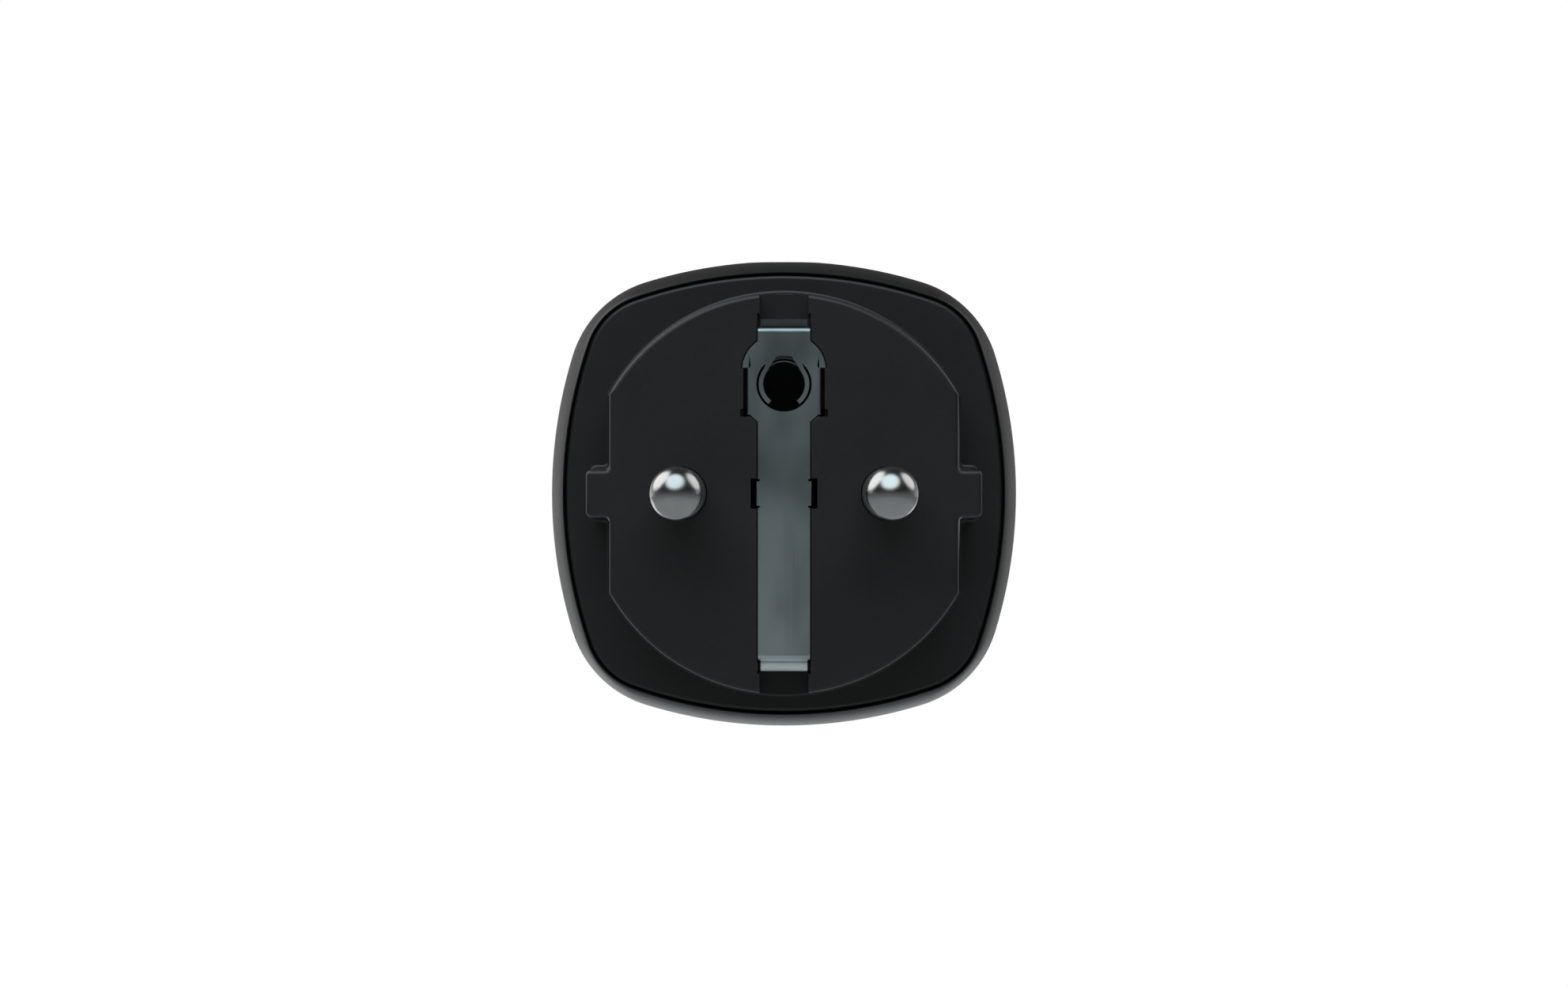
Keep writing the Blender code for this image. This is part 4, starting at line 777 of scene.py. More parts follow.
carve(cover, *tools)
stand_in(cover, "housing", "black_plastic", "rear_cover")

# %% [markdown]
# ## Pins
# Two solid brass pins, nickel plated and polished, with a round end. The round end is a
# quarter arc of the profile, so the spin gives an exact half sphere, which matters because
# its reflections are the brightest thing on the plug.

# %% Pins
PIN_TIP = pin_low.y
COLLAR_R = pin_high.x - PIN_X
pin_profile = bend((0, PIN_TIP + PIN_R), PIN_R, -90, 0, 28)
pin_profile += [(PIN_R, -2.0), (PIN_R, 7.3), (COLLAR_R - 0.15, 7.3), (COLLAR_R, 7.45),
                (COLLAR_R, pin_high.y - 0.15), (COLLAR_R - 0.15, pin_high.y), (0, pin_high.y)]
pins = []
for name, side in (("neutral", -1), ("line", 1)):
    pin = lathe(f"{name}_pin_plated", pin_profile, (side * PIN_X, 0, 0), steps=112)
    pins.append(stand_in(pin, "housing", "pin_plating", f"{name}_pin"))

# %% [markdown]
# ## Earth strip
# On the real plug this is a flat blank cut from spring steel and folded in a press. It is
# made the same way here: the blank is one face, each fold is an edge spun a quarter turn,
# the ends are drawn out into the tongues that a socket's side contacts touch, and only then
# does the sheet get its thickness.


# %% Earth strip: blank
def edges_between(edit, low, high):
    """Edges whose two ends lie in a box."""
    return [edge for edge in edit.edges
            if all(low[i] - 0.001 <= v.co[i] <= high[i] + 0.001 for v in edge.verts for i in range(3))]


edit = bmesh.new()
blank = [edit.verts.new((x, STRIP_FACE, z)) for x, z in half_blank()]
edit.faces.new(blank)
bmesh.ops.mirror(edit, geom=edit.verts[:] + edit.edges[:] + edit.faces[:],
                 axis="X", merge_dist=0.001)
bmesh.ops.dissolve_faces(edit, faces=edit.faces[:])
print("blank:", len(edit.faces), "face,", len(edit.verts), "corners")


# %% Earth strip: folds
def pull(edit, edges, step):
    """Extrudes edges and moves the new ones by a step. It gives them."""
    made = bmesh.ops.extrude_edge_only(edit, edges=edges)["geom"]
    fresh = [item for item in made if isinstance(item, bmesh.types.BMVert)]
    bmesh.ops.translate(edit, verts=fresh, vec=step)
    return [item for item in made
            if isinstance(item, bmesh.types.BMEdge) and set(item.verts) <= set(fresh)]


def fold(edit, edges, centre, axis, steps=6):
    """Folds a flap back from edges by a quarter turn, and gives the flap's new edges."""
    last = spin(edit, edges, centre, math.pi / 2, steps, axis=axis)
    return [item for item in last if isinstance(item, bmesh.types.BMEdge)]


for side in (-1, 1):
    lug = edges_between(edit, (side * LUG_X, STRIP_FACE, -LUG_HALF), (side * LUG_X, STRIP_FACE, LUG_HALF))
    lug = fold(edit, lug, (side * LUG_X, STRIP_FACE + LUG_BEND, 0), (0, 0, side))
    pull(edit, lug, (0, 2.6, 0))
    fold_x = side * (HEAD_X - HEAD_BEND)
    flap = edges_between(edit, (fold_x, STRIP_FACE, HEAD_FOOT), (fold_x, STRIP_FACE, SHOULDER_Z))
    flap = fold(edit, flap, (fold_x, STRIP_FACE + HEAD_BEND, 0), (0, 0, side))
    pull(edit, flap, (0, 2.2, 0))
print("folds:", len(edit.faces), "faces")

# %% Earth strip: end bends and tongues
TONGUE_PATH = [(0.9, 0.0), (0.7, 0.13), (0.17, 0.12), (0.7, 0.15), (0.7, 0.15), (0.8, 0.14),
               (0.8, 0.12), (0.8, 0.08), (0.9, 0.03), (1.2, -0.03), (1.2, -0.18), (1.2, -0.26)]
LOWER_SPREAD = 1.35
for side in (-1, 1):
    spread = LOWER_SPREAD if side < 0 else 1
    end = edges_between(edit, (-STRIP_HALF, STRIP_FACE, side * END_Z), (STRIP_HALF, STRIP_FACE, side * END_Z))
    end = fold(edit, end, (0, STRIP_FACE + END_BEND, side * END_Z), (-side, 0, 0), 8)
    tongue = [edge for edge in end if all(abs(v.co.x) < TONGUE_HALF + 0.01 for v in edge.verts)]
    for step, rise in TONGUE_PATH:
        tongue = pull(edit, tongue, (0, step, side * rise * spread))
bmesh.ops.recalc_face_normals(edit, faces=edit.faces)
front = max(edit.faces, key=lambda face: face.calc_area())
if front.normal.y > 0:
    bmesh.ops.reverse_faces(edit, faces=edit.faces)
bmesh.ops.solidify(edit, geom=edit.faces[:], thickness=STRIP_SHEET)
strip = finished_mesh("earth_strip_steel", edit)
print("strip:", len(strip.data.polygons), "faces")

# %% [markdown]
# The earth hole isn't a plain circle. Two arms are cut free from the sheet and curve down
# round it, with a dark crescent outside each. Between them the opening is an arch with a
# small notch at the top. The crescents are a disc with the arms' shape kept out of it. Behind
# the upper bend a slot opens under the tongue. It hardly shows from straight ahead.

# %% Earth strip: hole and arms
ARM_OUT_R = 2.31
ARM_IN_R = 1.91
ARM_END = -52
ARM_TOP = 36
GAP_MARGIN = 0.12
GAP_HEIGHT = 0.13


def both_sides(points):
    """Closes a right half, listed upwards, with its mirror image, raised to the hole."""
    right = [Vector((x, EARTH_Z + z)) for x, z in points]
    left = [Vector((-point.x, point.y)) for point in reversed(right)]
    return with_ways_out(right + left)


arms = [(ARM_IN_R * 0.97 * math.cos(math.radians(ARM_END)),
         ARM_IN_R * 0.97 * math.sin(math.radians(ARM_END)))]
arms += bend((0, 0), ARM_OUT_R, ARM_END, ARM_TOP, 24) + [(1.62, 1.99), (1.62, 3.4)]
arch = [(1.62, 1.02), (1.30, 1.62), (0.93, 2.12), (0.72, 2.50), (0.30, 2.57)]
hole_tool = lathe("hole_tool", [(0, -1), (EARTH_R, -1), (EARTH_R, 1.2), (0, 1.2)], (0, 0, EARTH_Z))
carve(hole_tool, sweep("arms", along(both_sides(arms), [(0, -2), (0, 2)])))
throat = rod("throat", ARM_IN_R, -1.1, 1.1, (0, 0, EARTH_Z))
arch_tool = sweep("arch", along(both_sides(arch), [(0, -1.05), (0, 1.05)]))
bend_top = END_Z + END_BEND
gap_y = STRIP_FACE + END_BEND
gap_half = TONGUE_HALF - GAP_MARGIN
gap_tool = block("gap", (-gap_half, gap_y + 0.95, bend_top - 1.2),
                 (gap_half, gap_y + 3.2, bend_top + GAP_HEIGHT))
carve(strip, hole_tool, throat, arch_tool, gap_tool)
edge_round = strip.modifiers.new("blanked_edge", "BEVEL")
edge_round.width = 0.05 * MM
edge_round.segments = 2
edge_round.angle_limit = math.radians(50)
stand_in(strip, "housing", "strip_steel", "earth_strip")

# %% [markdown]
# ## Earth contact
# Behind the strip a slit tube of springy copper alloy grips the earth pin of a socket. It is
# a spun wall that narrows at its mouth, with a wedge cut from its top and another from its
# bottom. A thin lip bridges the top and shows as a bright line across the notch.

# %% Earth contact
sleeve_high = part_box("earth_pin_sleeve")[1] / MM
MOUTH_Y = STRIP_FACE + STRIP_SHEET + 0.15
MOUTH_R = 2.33
SLEEVE_WALL = 0.4
SLEEVE_R = sleeve_high.x
sleeve_profile = [
    (MOUTH_R - SLEEVE_WALL, MOUTH_Y + 0.06), (MOUTH_R - SLEEVE_WALL + 0.06, MOUTH_Y),
    (MOUTH_R - 0.06, MOUTH_Y), (MOUTH_R, MOUTH_Y + 0.06), (MOUTH_R, MOUTH_Y + 1.0),
    (SLEEVE_R, MOUTH_Y + 5.4), (SLEEVE_R, sleeve_high.y),
    (SLEEVE_R - SLEEVE_WALL, sleeve_high.y), (SLEEVE_R - SLEEVE_WALL, MOUTH_Y + 5.4),
    (MOUTH_R - SLEEVE_WALL, MOUTH_Y + 1.0)]
sleeve = lathe("earth_contact_sleeve", sleeve_profile, (0, 0, EARTH_Z), closed=True)
wedges = []
for name, side, spread in (("top", 1, 3.4), ("bottom", -1, 2.66)):
    corners = [Vector((0, EARTH_Z)), Vector((spread * side, EARTH_Z + 3.4 * side)),
               Vector((-spread * side, EARTH_Z + 3.4 * side))]
    wedges.append(sweep(f"{name}_wedge", along(with_ways_out(corners), [(0, -0.3), (0, 9.0)])))
carve(sleeve, *wedges)
lip = lathe("lip", [(2.04, MOUTH_Y), (2.13, MOUTH_Y), (2.13, MOUTH_Y + 1.2), (2.04, MOUTH_Y + 1.2)],
            (0, 0, EARTH_Z), closed=True)
carve(lip, block("lower_half", (-3, MOUTH_Y - 1, EARTH_Z - 3), (3, MOUTH_Y + 3, EARTH_Z + 1.0)))
carve(sleeve, lip, operation="UNION")
stand_in(sleeve, "housing", "contact_alloy", "earth_pin_sleeve")

# %% [markdown]
# ## Outer shell
# The shell is one wall carried round the body. Its outside flares from the rim behind the
# plate to its widest place, then narrows slowly to the front, and its rim and front edge are
# rounded. The inside has a ledge that holds the rear cover. One closed profile makes it all.

# %% Outer shell
WIDEST_FROM_RIM = 10.0
FRONT_INSET = 0.35
FLARE_SHARE = 0.92
FLARE_DROP = 1 - math.sqrt(1 - FLARE_SHARE**2)
SHELL_BACK, SHELL_FRONT = shell_low.y, shell_high.y
WIDEST = SHELL_BACK + WIDEST_FROM_RIM
SHELL_WALL = 1.35
SEAM = 0.11
RIM_ROUND = 0.15


def shell_inset(place):
    """How far the outside lies inside the widest outline at a place on the axis."""
    if place < WIDEST:
        share = (WIDEST - place) / WIDEST_FROM_RIM
        return RIM_INSET * (1 - math.sqrt(1 - (FLARE_SHARE * share) ** 2)) / FLARE_DROP
    return FRONT_INSET * ((place - WIDEST) / (SHELL_FRONT - WIDEST)) ** 2


def shell_outline(place):
    """The outside at a place. Its corners tighten towards the rim, where it is squarest."""
    inset = shell_inset(place)
    tighter = (CORNER_R - RIM_CORNER_R) * inset / RIM_INSET if place < WIDEST else inset
    return body_outline(BODY_HALF - inset, CORNER_R - tighter)


mouth = PLATE_MARGIN + SEAM
rim = bend((mouth + RIM_ROUND, SHELL_BACK + RIM_ROUND), RIM_ROUND, 180, 270, 3)
places = [SHELL_BACK + WIDEST_FROM_RIM * i / 24 for i in range(1, 25)]
places += [WIDEST + (SHELL_FRONT - 0.4 - WIDEST) * i / 8 for i in range(1, 9)]
front_outline = body_outline(BODY_HALF - FRONT_INSET, CORNER_R - FRONT_INSET)
inner_outline = body_outline(BODY_HALF - SHELL_WALL)
stations = along(rim_outline, rim)
stations += [(rim_outline, -0.02, SHELL_BACK + 0.03)]
stations += [(shell_outline(place), 0, place) for place in places]
stations += along(front_outline, bend((-0.3, SHELL_FRONT - 0.3), 0.3, 10, 90, 4))
stations += along(inner_outline, [(0, SHELL_FRONT), (0, 20.3), (-0.8, 20.3)])
stations += along(rim_outline, [(plate_seat + 0.2, 18.95), (mouth, 18.95)])
shell = sweep("shell_moulding", stations, closed=True)
print("shell:", len(shell.data.polygons), "faces")

# %% Outer shell: button hole
button_low, button_high = (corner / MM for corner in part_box("button_cap"))
BUTTON_Y = (button_low.y + button_high.y) / 2
BUTTON_R = 3.2
hole_r = BUTTON_R + 0.18
hole_profile = [(0, BODY_HALF - 4), (hole_r, BODY_HALF - 4), (hole_r, BODY_HALF - 0.3),
                (hole_r + 0.1, BODY_HALF - 0.08), (hole_r + 0.3, BODY_HALF + 0.04),
                (hole_r + 0.3, BODY_HALF + 1), (0, BODY_HALF + 1)]
carve(shell, lathe("button_hole", hole_profile, (0, BUTTON_Y, 0), "z"))
stand_in(shell, "housing", "black_plastic", "outer_shell", sharp=28)

# %% [markdown]
# ## Button
# A round cap sits in the top of the shell. Its face is dished so that a fingertip finds it,
# a flange below keeps it in, and its stem presses the switch.

# %% Button
FLANGE_R = button_high.x
FLANGE_TOP = BODY_HALF - SHELL_WALL - 0.5
BUTTON_TOP = BODY_HALF - 0.19
button_profile = [(0, BUTTON_TOP - 0.22), (0.8, BUTTON_TOP - 0.21), (1.5, BUTTON_TOP - 0.17),
                  (2.1, BUTTON_TOP - 0.10), (2.6, BUTTON_TOP - 0.02), (2.8, BUTTON_TOP)]
button_profile += bend((BUTTON_R - 0.22, BUTTON_TOP - 0.22), 0.22, 80, 0, 4)
button_profile += [(BUTTON_R, FLANGE_TOP), (FLANGE_R, FLANGE_TOP), (FLANGE_R, FLANGE_TOP - 0.7),
                   (1.6, FLANGE_TOP - 0.7), (1.6, button_low.z), (0, button_low.z)]
button = lathe("button_moulding", button_profile, (0, BUTTON_Y, 0), "z")
stand_in(button, "button", "black_plastic", "button_cap")

# %% [markdown]
# ## Light ring
# A clear frame between the shell and the bezel carries light from two diodes to the whole
# edge. Its outside is the body outline and its inside is round, so the wide corners take the
# two legs that stand over the diodes.

# %% Light ring
ring_low, ring_high = (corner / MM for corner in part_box("light_ring"))
RING_BACK = shell_high.y + 0.3
insert_low, insert_high = (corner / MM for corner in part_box("socket_insert"))
INSERT_R = 20.6
ring_outline = body_outline(ring_high.x)
ring_profile = [(-1.2, RING_BACK), *bend((-0.18, RING_BACK + 0.18), 0.18, -90, 0, 3),
                *bend((-0.18, ring_high.y - 0.18), 0.18, 0, 90, 3), (-1.2, ring_high.y)]
ring = sweep("light_guide", along(ring_outline, ring_profile))
carve(ring, rod("ring_bore", INSERT_R + 0.3, RING_BACK - 1, ring_high.y + 1, (0, 0, 0)))
legs = []
for angle in (math.pi / 4, -3 * math.pi / 4):
    leg = block("leg", (INSERT_R + 0.42, ring_low.y, -1.2), (INSERT_R + 1.8, RING_BACK + 0.4, 1.2))
    leg.data.transform(Matrix.Rotation(-angle, 4, "Y"))
    legs.append(leg)
carve(ring, *legs, operation="UNION")
stand_in(ring, "housing", "clear_guide", "light_ring")

# %% [markdown]
# ## Socket insert
# The front of the body takes another plug: a bezel with a deep round recess, keyed by two
# flats with a groove, and a floor with two pin holes and a slot at each side for the earth
# arms. Bezel and recess wall are one moulding.

# %% Socket insert: bezel and recess
FRONT = insert_high.y
BEZEL_BACK = FRONT - 1.5
FLOOR = FRONT - 17.5
INSERT_BACK = insert_low.y
RECESS_R = 19.4
RECESS_FLAT = 17.0
GROOVE_X = 19.0
GROOVE_HALF = 2.9
BEZEL_EDGE = 0.7
bezel_profile = [(0, BEZEL_BACK), *bend((-BEZEL_EDGE, FRONT - BEZEL_EDGE), BEZEL_EDGE, 0, 90, 8)]
insert = sweep("socket_moulding", along(body_outline(insert_high.x), bezel_profile))
carve(insert, rod("recess_wall", INSERT_R, INSERT_BACK, BEZEL_BACK + 0.4, (0, 0, 0), steps=160),
      operation="UNION")
GROOVE_CORNER = 0.6
FLOOR_FILLET = 0.35
MOUTH_EDGE = 0.45
recess_outline = flatted_disc(RECESS_R, RECESS_FLAT, GROOVE_X, GROOVE_HALF, GROOVE_CORNER, GROOVE_CORNER)
recess_profile = bend((-FLOOR_FILLET, FLOOR + FLOOR_FILLET), FLOOR_FILLET, -90, 0, 5)
recess_profile += bend((MOUTH_EDGE, FRONT - MOUTH_EDGE), MOUTH_EDGE, 180, 90, 6)
recess_profile += [(MOUTH_EDGE, FRONT + 0.5)]
carve(insert, sweep("recess", along(recess_outline, recess_profile)))
print("socket insert:", len(insert.data.polygons), "faces")

# %% Socket insert: holes in the floor
HOLE_R = 3.0
strap_low, strap_high = (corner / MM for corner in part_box("socket_earth_strap"))
tools = []
for side in (-1, 1):
    hole = [(0, INSERT_BACK - 0.5), (HOLE_R, INSERT_BACK - 0.5), (HOLE_R, FLOOR - 0.5),
            *bend((HOLE_R + 0.5, FLOOR - 0.5), 0.5, 180, 90, 5), (HOLE_R + 0.5, FLOOR + 0.3),
            (0, FLOOR + 0.3)]
    tools.append(lathe(f"pin_way_{side}", hole, (side * PIN_X, 0, 0)))
    near, far = sorted((side * 16.9, side * 19.25))
    tools.append(block(f"arm_way_{side}", (strap_low.x - 0.3, INSERT_BACK - 0.5, near),
                       (strap_high.x + 0.3, FLOOR + 0.4, far)))
carve(insert, *tools)
stand_in(insert, "housing", "black_plastic", "socket_insert")

# %% [markdown]
# ## Earth arms in the recess
# One spring strip runs behind the recess and comes up both sides of it, bowed inwards where
# a plug's side contacts touch. The strip is a straight line of edges drawn out step by step
# and then thickened.

# %% Earth arms
ARM_FOLD = 0.9
STRAP_SHEET = 0.5
edit = bmesh.new()
left = edit.verts.new((strap_low.x, strap_low.y, 0))
right = edit.verts.new((strap_high.x, strap_low.y, 0))
middle = [edit.edges.new((left, right))]
ARM_Z = strap_high.z - 0.55
arm_height = strap_high.y - strap_low.y - ARM_FOLD
for side in (-1, 1):
    flat = pull(edit, middle, (0, 0, side * (ARM_Z - ARM_FOLD)))
    arm = fold(edit, flat, (0, strap_low.y + ARM_FOLD, side * (ARM_Z - ARM_FOLD)), (side, 0, 0))
    steps = 16
    for i in range(steps):
        t0, t1 = i / steps, (i + 1) / steps
        bow = [1.35 * math.sin(math.pi * min(1.0, max(0.0, (t - 0.18) / 0.82))) ** 2 for t in (t0, t1)]
        arm = pull(edit, arm, (0, arm_height / steps, -side * (bow[1] - bow[0])))
bmesh.ops.remove_doubles(edit, verts=edit.verts, dist=0.001)
bmesh.ops.recalc_face_normals(edit, faces=edit.faces)
bmesh.ops.solidify(edit, geom=edit.faces[:], thickness=STRAP_SHEET)
strap = finished_mesh("earth_arms", edit)
round_off = strap.modifiers.new("blanked_edge", "BEVEL")
round_off.width = 0.07 * MM
round_off.segments = 2
round_off.angle_limit = math.radians(50)
stand_in(strap, "housing", "strip_steel", "socket_earth_strap")

# %% [markdown]
# ## Finishes
# Every finish is built from noise read at the object's own coordinates, in metres, so a
# grain of a tenth of a millimetre has a scale of about ten thousand. Colour, roughness and
# bump each take their own slice of it.


# %% Helpers for finishes
class Finish(Tree):
    """A material with a Principled shader, and the noises its finish is made of."""

    def __init__(self, name, **constants):
        super().__init__(bpy.data.materials.new(name))
        self.shader = self.tree.nodes["Principled BSDF"]
        self.place = self.add("ShaderNodeTexCoord", output="Object")
        for socket, value in constants.items():
            connect(self.tree, self.shader.inputs[socket.replace("_", " ").title()], value)

    def noise(self, scale, stretch=(1, 1, 1), detail=2.0, roughness=0.5):
        """Smooth noise from 0 to 1. Stretch divides its scale along each axis."""
        where = self.add("ShaderNodeMapping", inputs={
            "Vector": self.place, "Scale": [scale / s for s in stretch]})
        return self.add("ShaderNodeTexNoise", inputs={
            "Vector": where, "Scale": 1.0, "Detail": detail, "Roughness": roughness})

    def bump(self, height, depth, strength=1.0):
        """Bumps of a depth in millimetres."""
        normal = self.add("ShaderNodeBump", inputs={
            "Height": height, "Distance": depth * MM, "Strength": strength})
        self.feed("Normal", normal)

    def feed(self, socket, term):
        connect(self.tree, self.shader.inputs[socket], term)


def dress(finish, *objects):
    """Gives whole pieces or nodes one finish."""
    for item in objects:
        if item.material_slots:
            for slot in item.material_slots:
                slot.material = finish.owner
        else:
            item.data.materials.append(finish.owner)
    print(finish.owner.name, "on", len(objects), "pieces")


def nodes(*names):
    return [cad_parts[name] for name in names]


# %% [markdown]
# The case is a matt black moulding. The mould was spark eroded, which leaves a fine even
# grain, and handling makes some areas a touch smoother than others. The flat faces look
# almost black and only rounded edges catch the light, so the colour varies very little.

# %% Black moulded plastic
case = Finish("matt_black_moulding")
grain = case.noise(9000, detail=3.0, roughness=0.6)
cloud = case.noise(160, detail=3.0)
case.feed("Base Color", case.blend(cloud.smooth(0.3, 0.7), srgb(22, 20, 20), srgb(26, 24, 24)))
case.feed("Roughness", 0.34 + grain * 0.12 + cloud * 0.06)
case.bump(grain, 0.006)
dress(case, cover, shell, button, insert)

# %% [markdown]
# The pins are turned, plated and tumbled to a soft shine, with faint turning lines round
# them and a few duller patches where the plating is thinner. The tone is darker than clean
# nickel, so that the glows don't burn out on the round ends.

# %% Nickel plating
NICKEL = (0.42, 0.42, 0.415)
THIN_NICKEL = (0.36, 0.365, 0.365)
plating = Finish("polished_nickel", metallic=1.0)
turning = plating.noise(2600, stretch=(60, 1, 60), detail=3.0)
patches = plating.noise(420, detail=2.0)
plating.feed("Base Color", plating.blend(patches.smooth(0.35, 0.75), NICKEL, THIN_NICKEL))
plating.feed("Roughness", 0.18 + turning * 0.05 + patches.smooth(0.45, 0.8) * 0.05)
plating.bump(turning, 0.0008)
dress(plating, *pins)

# %% [markdown]
# The strip is rolled steel with a satin blue-grey look. Rolling leaves fine lines along it,
# and pressing leaves soft lighter and darker clouds, longer than they are wide. Its colour is
# also painted lighter lower down, a painted reflection of the brighter room below.

# %% Satin spring steel
satin = Finish("satin_spring_steel", metallic=1.0)
rolled = satin.noise(5000, stretch=(1, 1, 40), detail=3.0)
clouds = satin.noise(210, stretch=(1, 1, 1.8), detail=1.5)
heights = satin.add("ShaderNodeSeparateXYZ", inputs={"Vector": satin.place})["Z"]
# painted reflection: the steel's colour is painted lighter lower down, where it would mirror the bright light
# below
painted_light_lower_down = satin.add("ShaderNodeMapRange", {"interpolation_type": "SMOOTHSTEP"}, {
    "Value": heights, "From Min": 0.006, "From Max": -0.015})
dark_tone = satin.blend(painted_light_lower_down, srgb(124, 132, 135), srgb(154, 164, 167))
light_tone = satin.blend(painted_light_lower_down, srgb(154, 165, 168), srgb(182, 193, 196))
satin.feed("Base Color", satin.blend(clouds.smooth(0.36, 0.64), dark_tone, light_tone))
satin.feed("Roughness", 0.24 + rolled * 0.08 + clouds * 0.08)
satin.bump(rolled + clouds * 6, 0.003)
dress(satin, strip, strap)

# %% [markdown]
# Contacts and bars are a copper alloy, which is warmer and duller than the plating, with
# darker stains where heat or fingers reached it.

# %% Copper alloy
alloy = Finish("contact_alloy_tinned", metallic=1.0)
stain = alloy.noise(300, detail=4.0)
scuff = alloy.noise(6000, stretch=(1, 12, 1), detail=2.0)
alloy.feed("Base Color", alloy.blend(stain.smooth(0.4, 0.75), srgb(150, 156, 156), srgb(118, 122, 120)))
alloy.feed("Roughness", 0.28 + stain * 0.16)
alloy.bump(scuff, 0.002)
dress(alloy, sleeve)

brass = Finish("copper_alloy", metallic=1.0)
stain = brass.noise(380, detail=4.0)
scuff = brass.noise(6000, stretch=(1, 12, 1), detail=2.0)
brass.feed("Base Color", brass.blend(stain.smooth(0.4, 0.8), srgb(214, 176, 112), srgb(160, 118, 70)))
brass.feed("Roughness", 0.24 + stain * 0.2)
brass.bump(scuff, 0.002)
dress(brass, *nodes("line_contact", "neutral_contact", "line_busbar", "neutral_busbar",
                    "earth_link", "relay_contact_blade", "relay_fixed_contact", "shunt_resistor"))

# %% [markdown]
# The light ring is clear plastic that looks milky, because its back is frosted to spread the
# light. Weak transmission and a pale colour give that without a glowing lamp inside.

# %% Milky light guide and white nylon
guide = Finish("milky_light_guide")
guide.shader.inputs["IOR"].default_value = 1.49
haze = guide.noise(500, detail=2.0)
guide.shader.inputs["Transmission Weight"].default_value = 0.35
guide.feed("Base Color", guide.blend(haze, srgb(206, 212, 216), srgb(224, 228, 230)))
guide.feed("Roughness", 0.28 + haze * 0.14)
guide.bump(guide.noise(4000), 0.003)
dress(guide, ring)

nylon = Finish("white_nylon")
grain = nylon.noise(7000, detail=3.0)
flow = nylon.noise(240, stretch=(1, 3, 1), detail=3.0)
nylon.feed("Base Color", nylon.blend(flow.smooth(0.3, 0.7), srgb(200, 198, 188), srgb(216, 214, 206)))
nylon.feed("Roughness", 0.38 + grain * 0.14)
nylon.bump(grain, 0.005)
dress(nylon, *nodes("shutter", "contact_carrier"))

# %% [markdown]
# ## Inside
# The pieces inside keep the frame's shapes and get their own finishes: green laminate with
# tracks under its lacquer, black epoxy packages, a blue relay case, sleeved capacitors, and
# the bare and plated metals.

# %% Board laminate
laminate = Finish("green_laminate")
weave_x = laminate.add("ShaderNodeTexWave", inputs={
    "Vector": laminate.place, "Scale": 900.0, "Distortion": 0.4, "Detail": 1.0})["Fac"]
tracks = laminate.noise(420, detail=0.0)
edges = (tracks > 0.47) * (tracks < 0.53)
resin = laminate.blend(weave_x * 0.5, srgb(18, 64, 38), srgb(26, 82, 50))
laminate.feed("Base Color", laminate.blend(edges, resin, srgb(58, 122, 74)))
laminate.feed("Roughness", 0.26 + weave_x * 0.1 + edges * 0.08)
laminate.bump(edges + weave_x * 0.2, 0.02)
dress(laminate, *nodes("main_board", "control_board", "wifi_board"))

# %% Epoxy, relay case and capacitor sleeves
epoxy = Finish("black_epoxy")
pits = epoxy.noise(8000, detail=4.0, roughness=0.7)
epoxy.feed("Base Color", epoxy.blend(pits, srgb(22, 22, 24), srgb(40, 40, 42)))
epoxy.feed("Roughness", 0.42 + pits * 0.25)
epoxy.bump(pits, 0.01)
dress(epoxy, *nodes("bridge_rectifier", "switcher_chip", "metering_chip", "board_connector",
                    "relay_base", "tact_switch_body", "tact_switch_plunger", "power_inductor"))

relay_case = Finish("blue_relay_case")
flow = relay_case.noise(300, stretch=(1, 4, 1), detail=3.0)
relay_case.feed("Base Color", relay_case.blend(flow, srgb(30, 62, 140), srgb(42, 80, 164)))
relay_case.feed("Roughness", 0.22 + flow * 0.2)
relay_case.bump(relay_case.noise(7000), 0.004)
dress(relay_case, *nodes("relay_cover"))

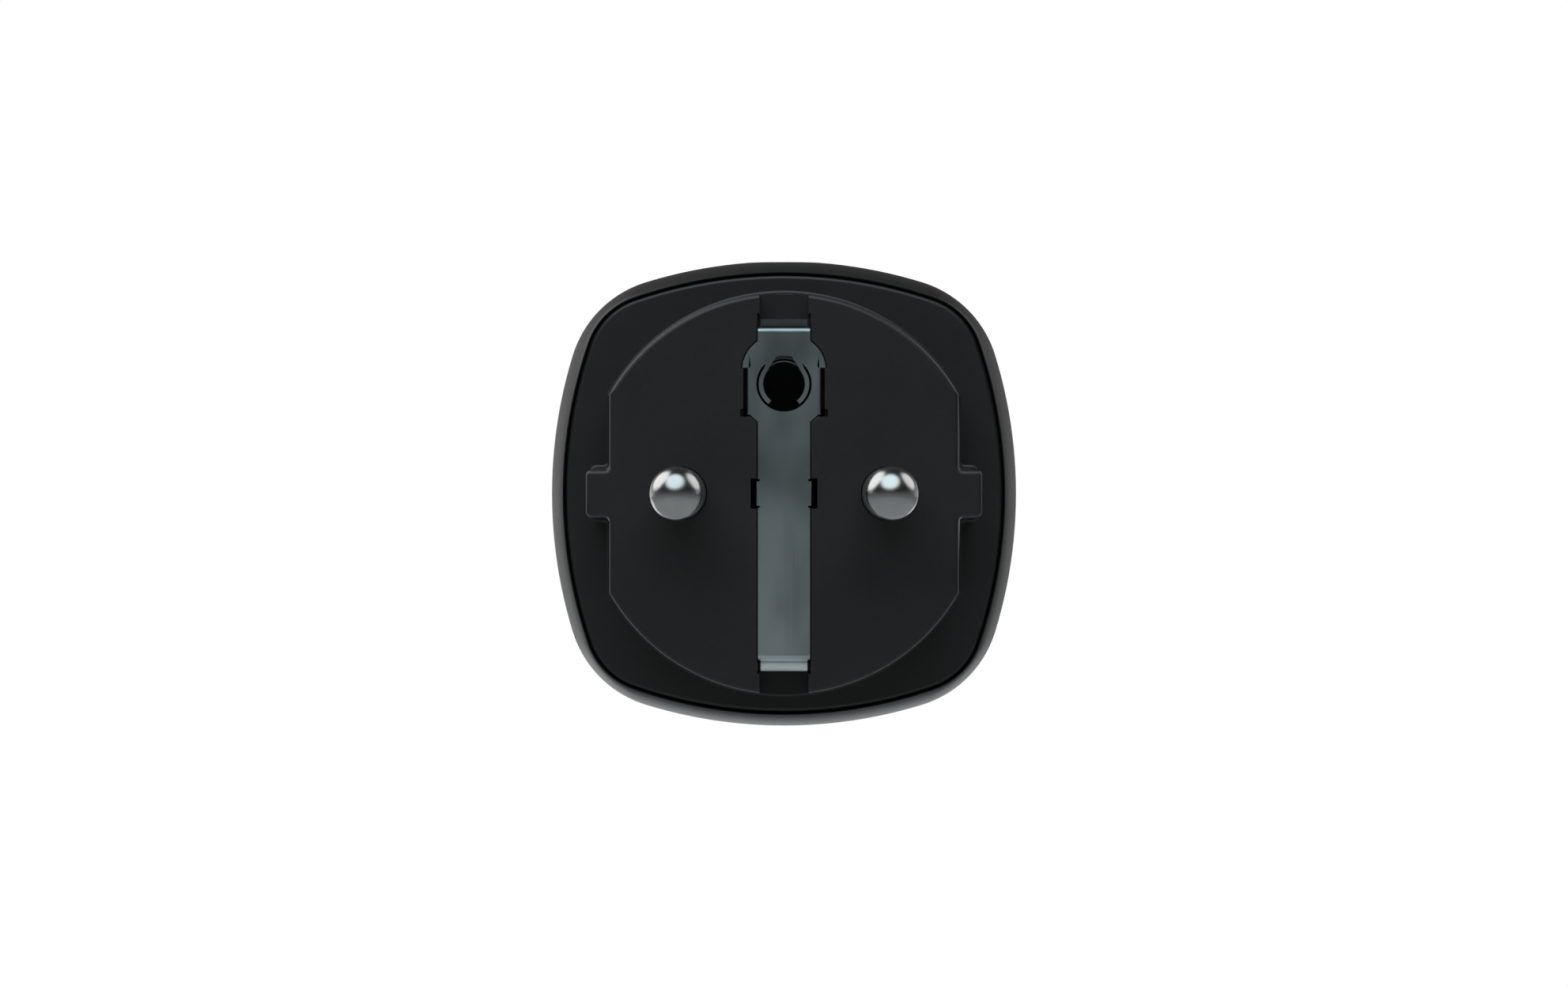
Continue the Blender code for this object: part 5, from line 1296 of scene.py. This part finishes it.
jacket = Finish("capacitor_jacket")
axis_parts = jacket.add("ShaderNodeSeparateXYZ", inputs={"Vector": jacket.place})
top_end = axis_parts["Y"] > 0.0180
shrink = jacket.noise(900, stretch=(1, 8, 1), detail=3.0)
sleeve_colour = jacket.blend(shrink, srgb(18, 26, 62), srgb(30, 40, 86))
jacket.feed("Base Color", jacket.blend(top_end, sleeve_colour, srgb(186, 188, 190)))
jacket.feed("Roughness", 0.24 + shrink * 0.2)
jacket.bump(shrink, 0.02)
dress(jacket, *nodes("bulk_capacitor_left", "bulk_capacitor_right"))

# %% Coloured components
COLOURED = {
    "fuse_resistor": ("green_lacquer", (92, 124, 104), (112, 144, 122)),
    "varistor": ("blue_lacquer", (34, 84, 150), (48, 104, 172)),
    "x_capacitor": ("yellow_case", (182, 150, 34), (204, 172, 52)),
    "relay_coil": ("enamelled_wire", (150, 74, 36), (196, 112, 62)),
}
for node_name, (name, dark, light) in COLOURED.items():
    finish = Finish(name)
    mottle = finish.noise(1600, detail=4.0)
    finish.feed("Base Color", finish.blend(mottle.smooth(0.3, 0.7), srgb(*dark), srgb(*light)))
    finish.feed("Roughness", 0.22 + mottle * 0.22)
    finish.bump(mottle, 0.012)
    dress(finish, *nodes(node_name))

# %% Inner metals and lenses
iron = Finish("soft_iron", metallic=1.0)
mill = iron.noise(4000, stretch=(1, 1, 14), detail=3.0)
iron.feed("Base Color", iron.blend(mill, srgb(120, 120, 122), srgb(156, 156, 158)))
iron.feed("Roughness", 0.34 + mill * 0.16)
iron.bump(mill, 0.003)
dress(iron, *nodes("relay_core", "relay_yoke", "relay_armature"))

tin = Finish("tinned_can", metallic=1.0)
brushed = tin.noise(5000, stretch=(1, 24, 1), detail=3.0)
tin.feed("Base Color", tin.blend(brushed, srgb(176, 178, 180), srgb(206, 208, 210)))
tin.feed("Roughness", 0.26 + brushed * 0.16)
tin.bump(brushed, 0.002)
dress(tin, *nodes("wifi_shield", "tact_switch_dome", "shutter_spring"))

lens = Finish("led_lens")
phosphor = lens.noise(2400, detail=2.0)
lens.feed("Base Color", lens.blend(phosphor, srgb(236, 226, 150), srgb(240, 238, 220)))
lens.feed("Roughness", 0.18 + phosphor * 0.12)
lens.bump(phosphor, 0.006)
dress(lens, *nodes("status_led_upper", "status_led_lower"))
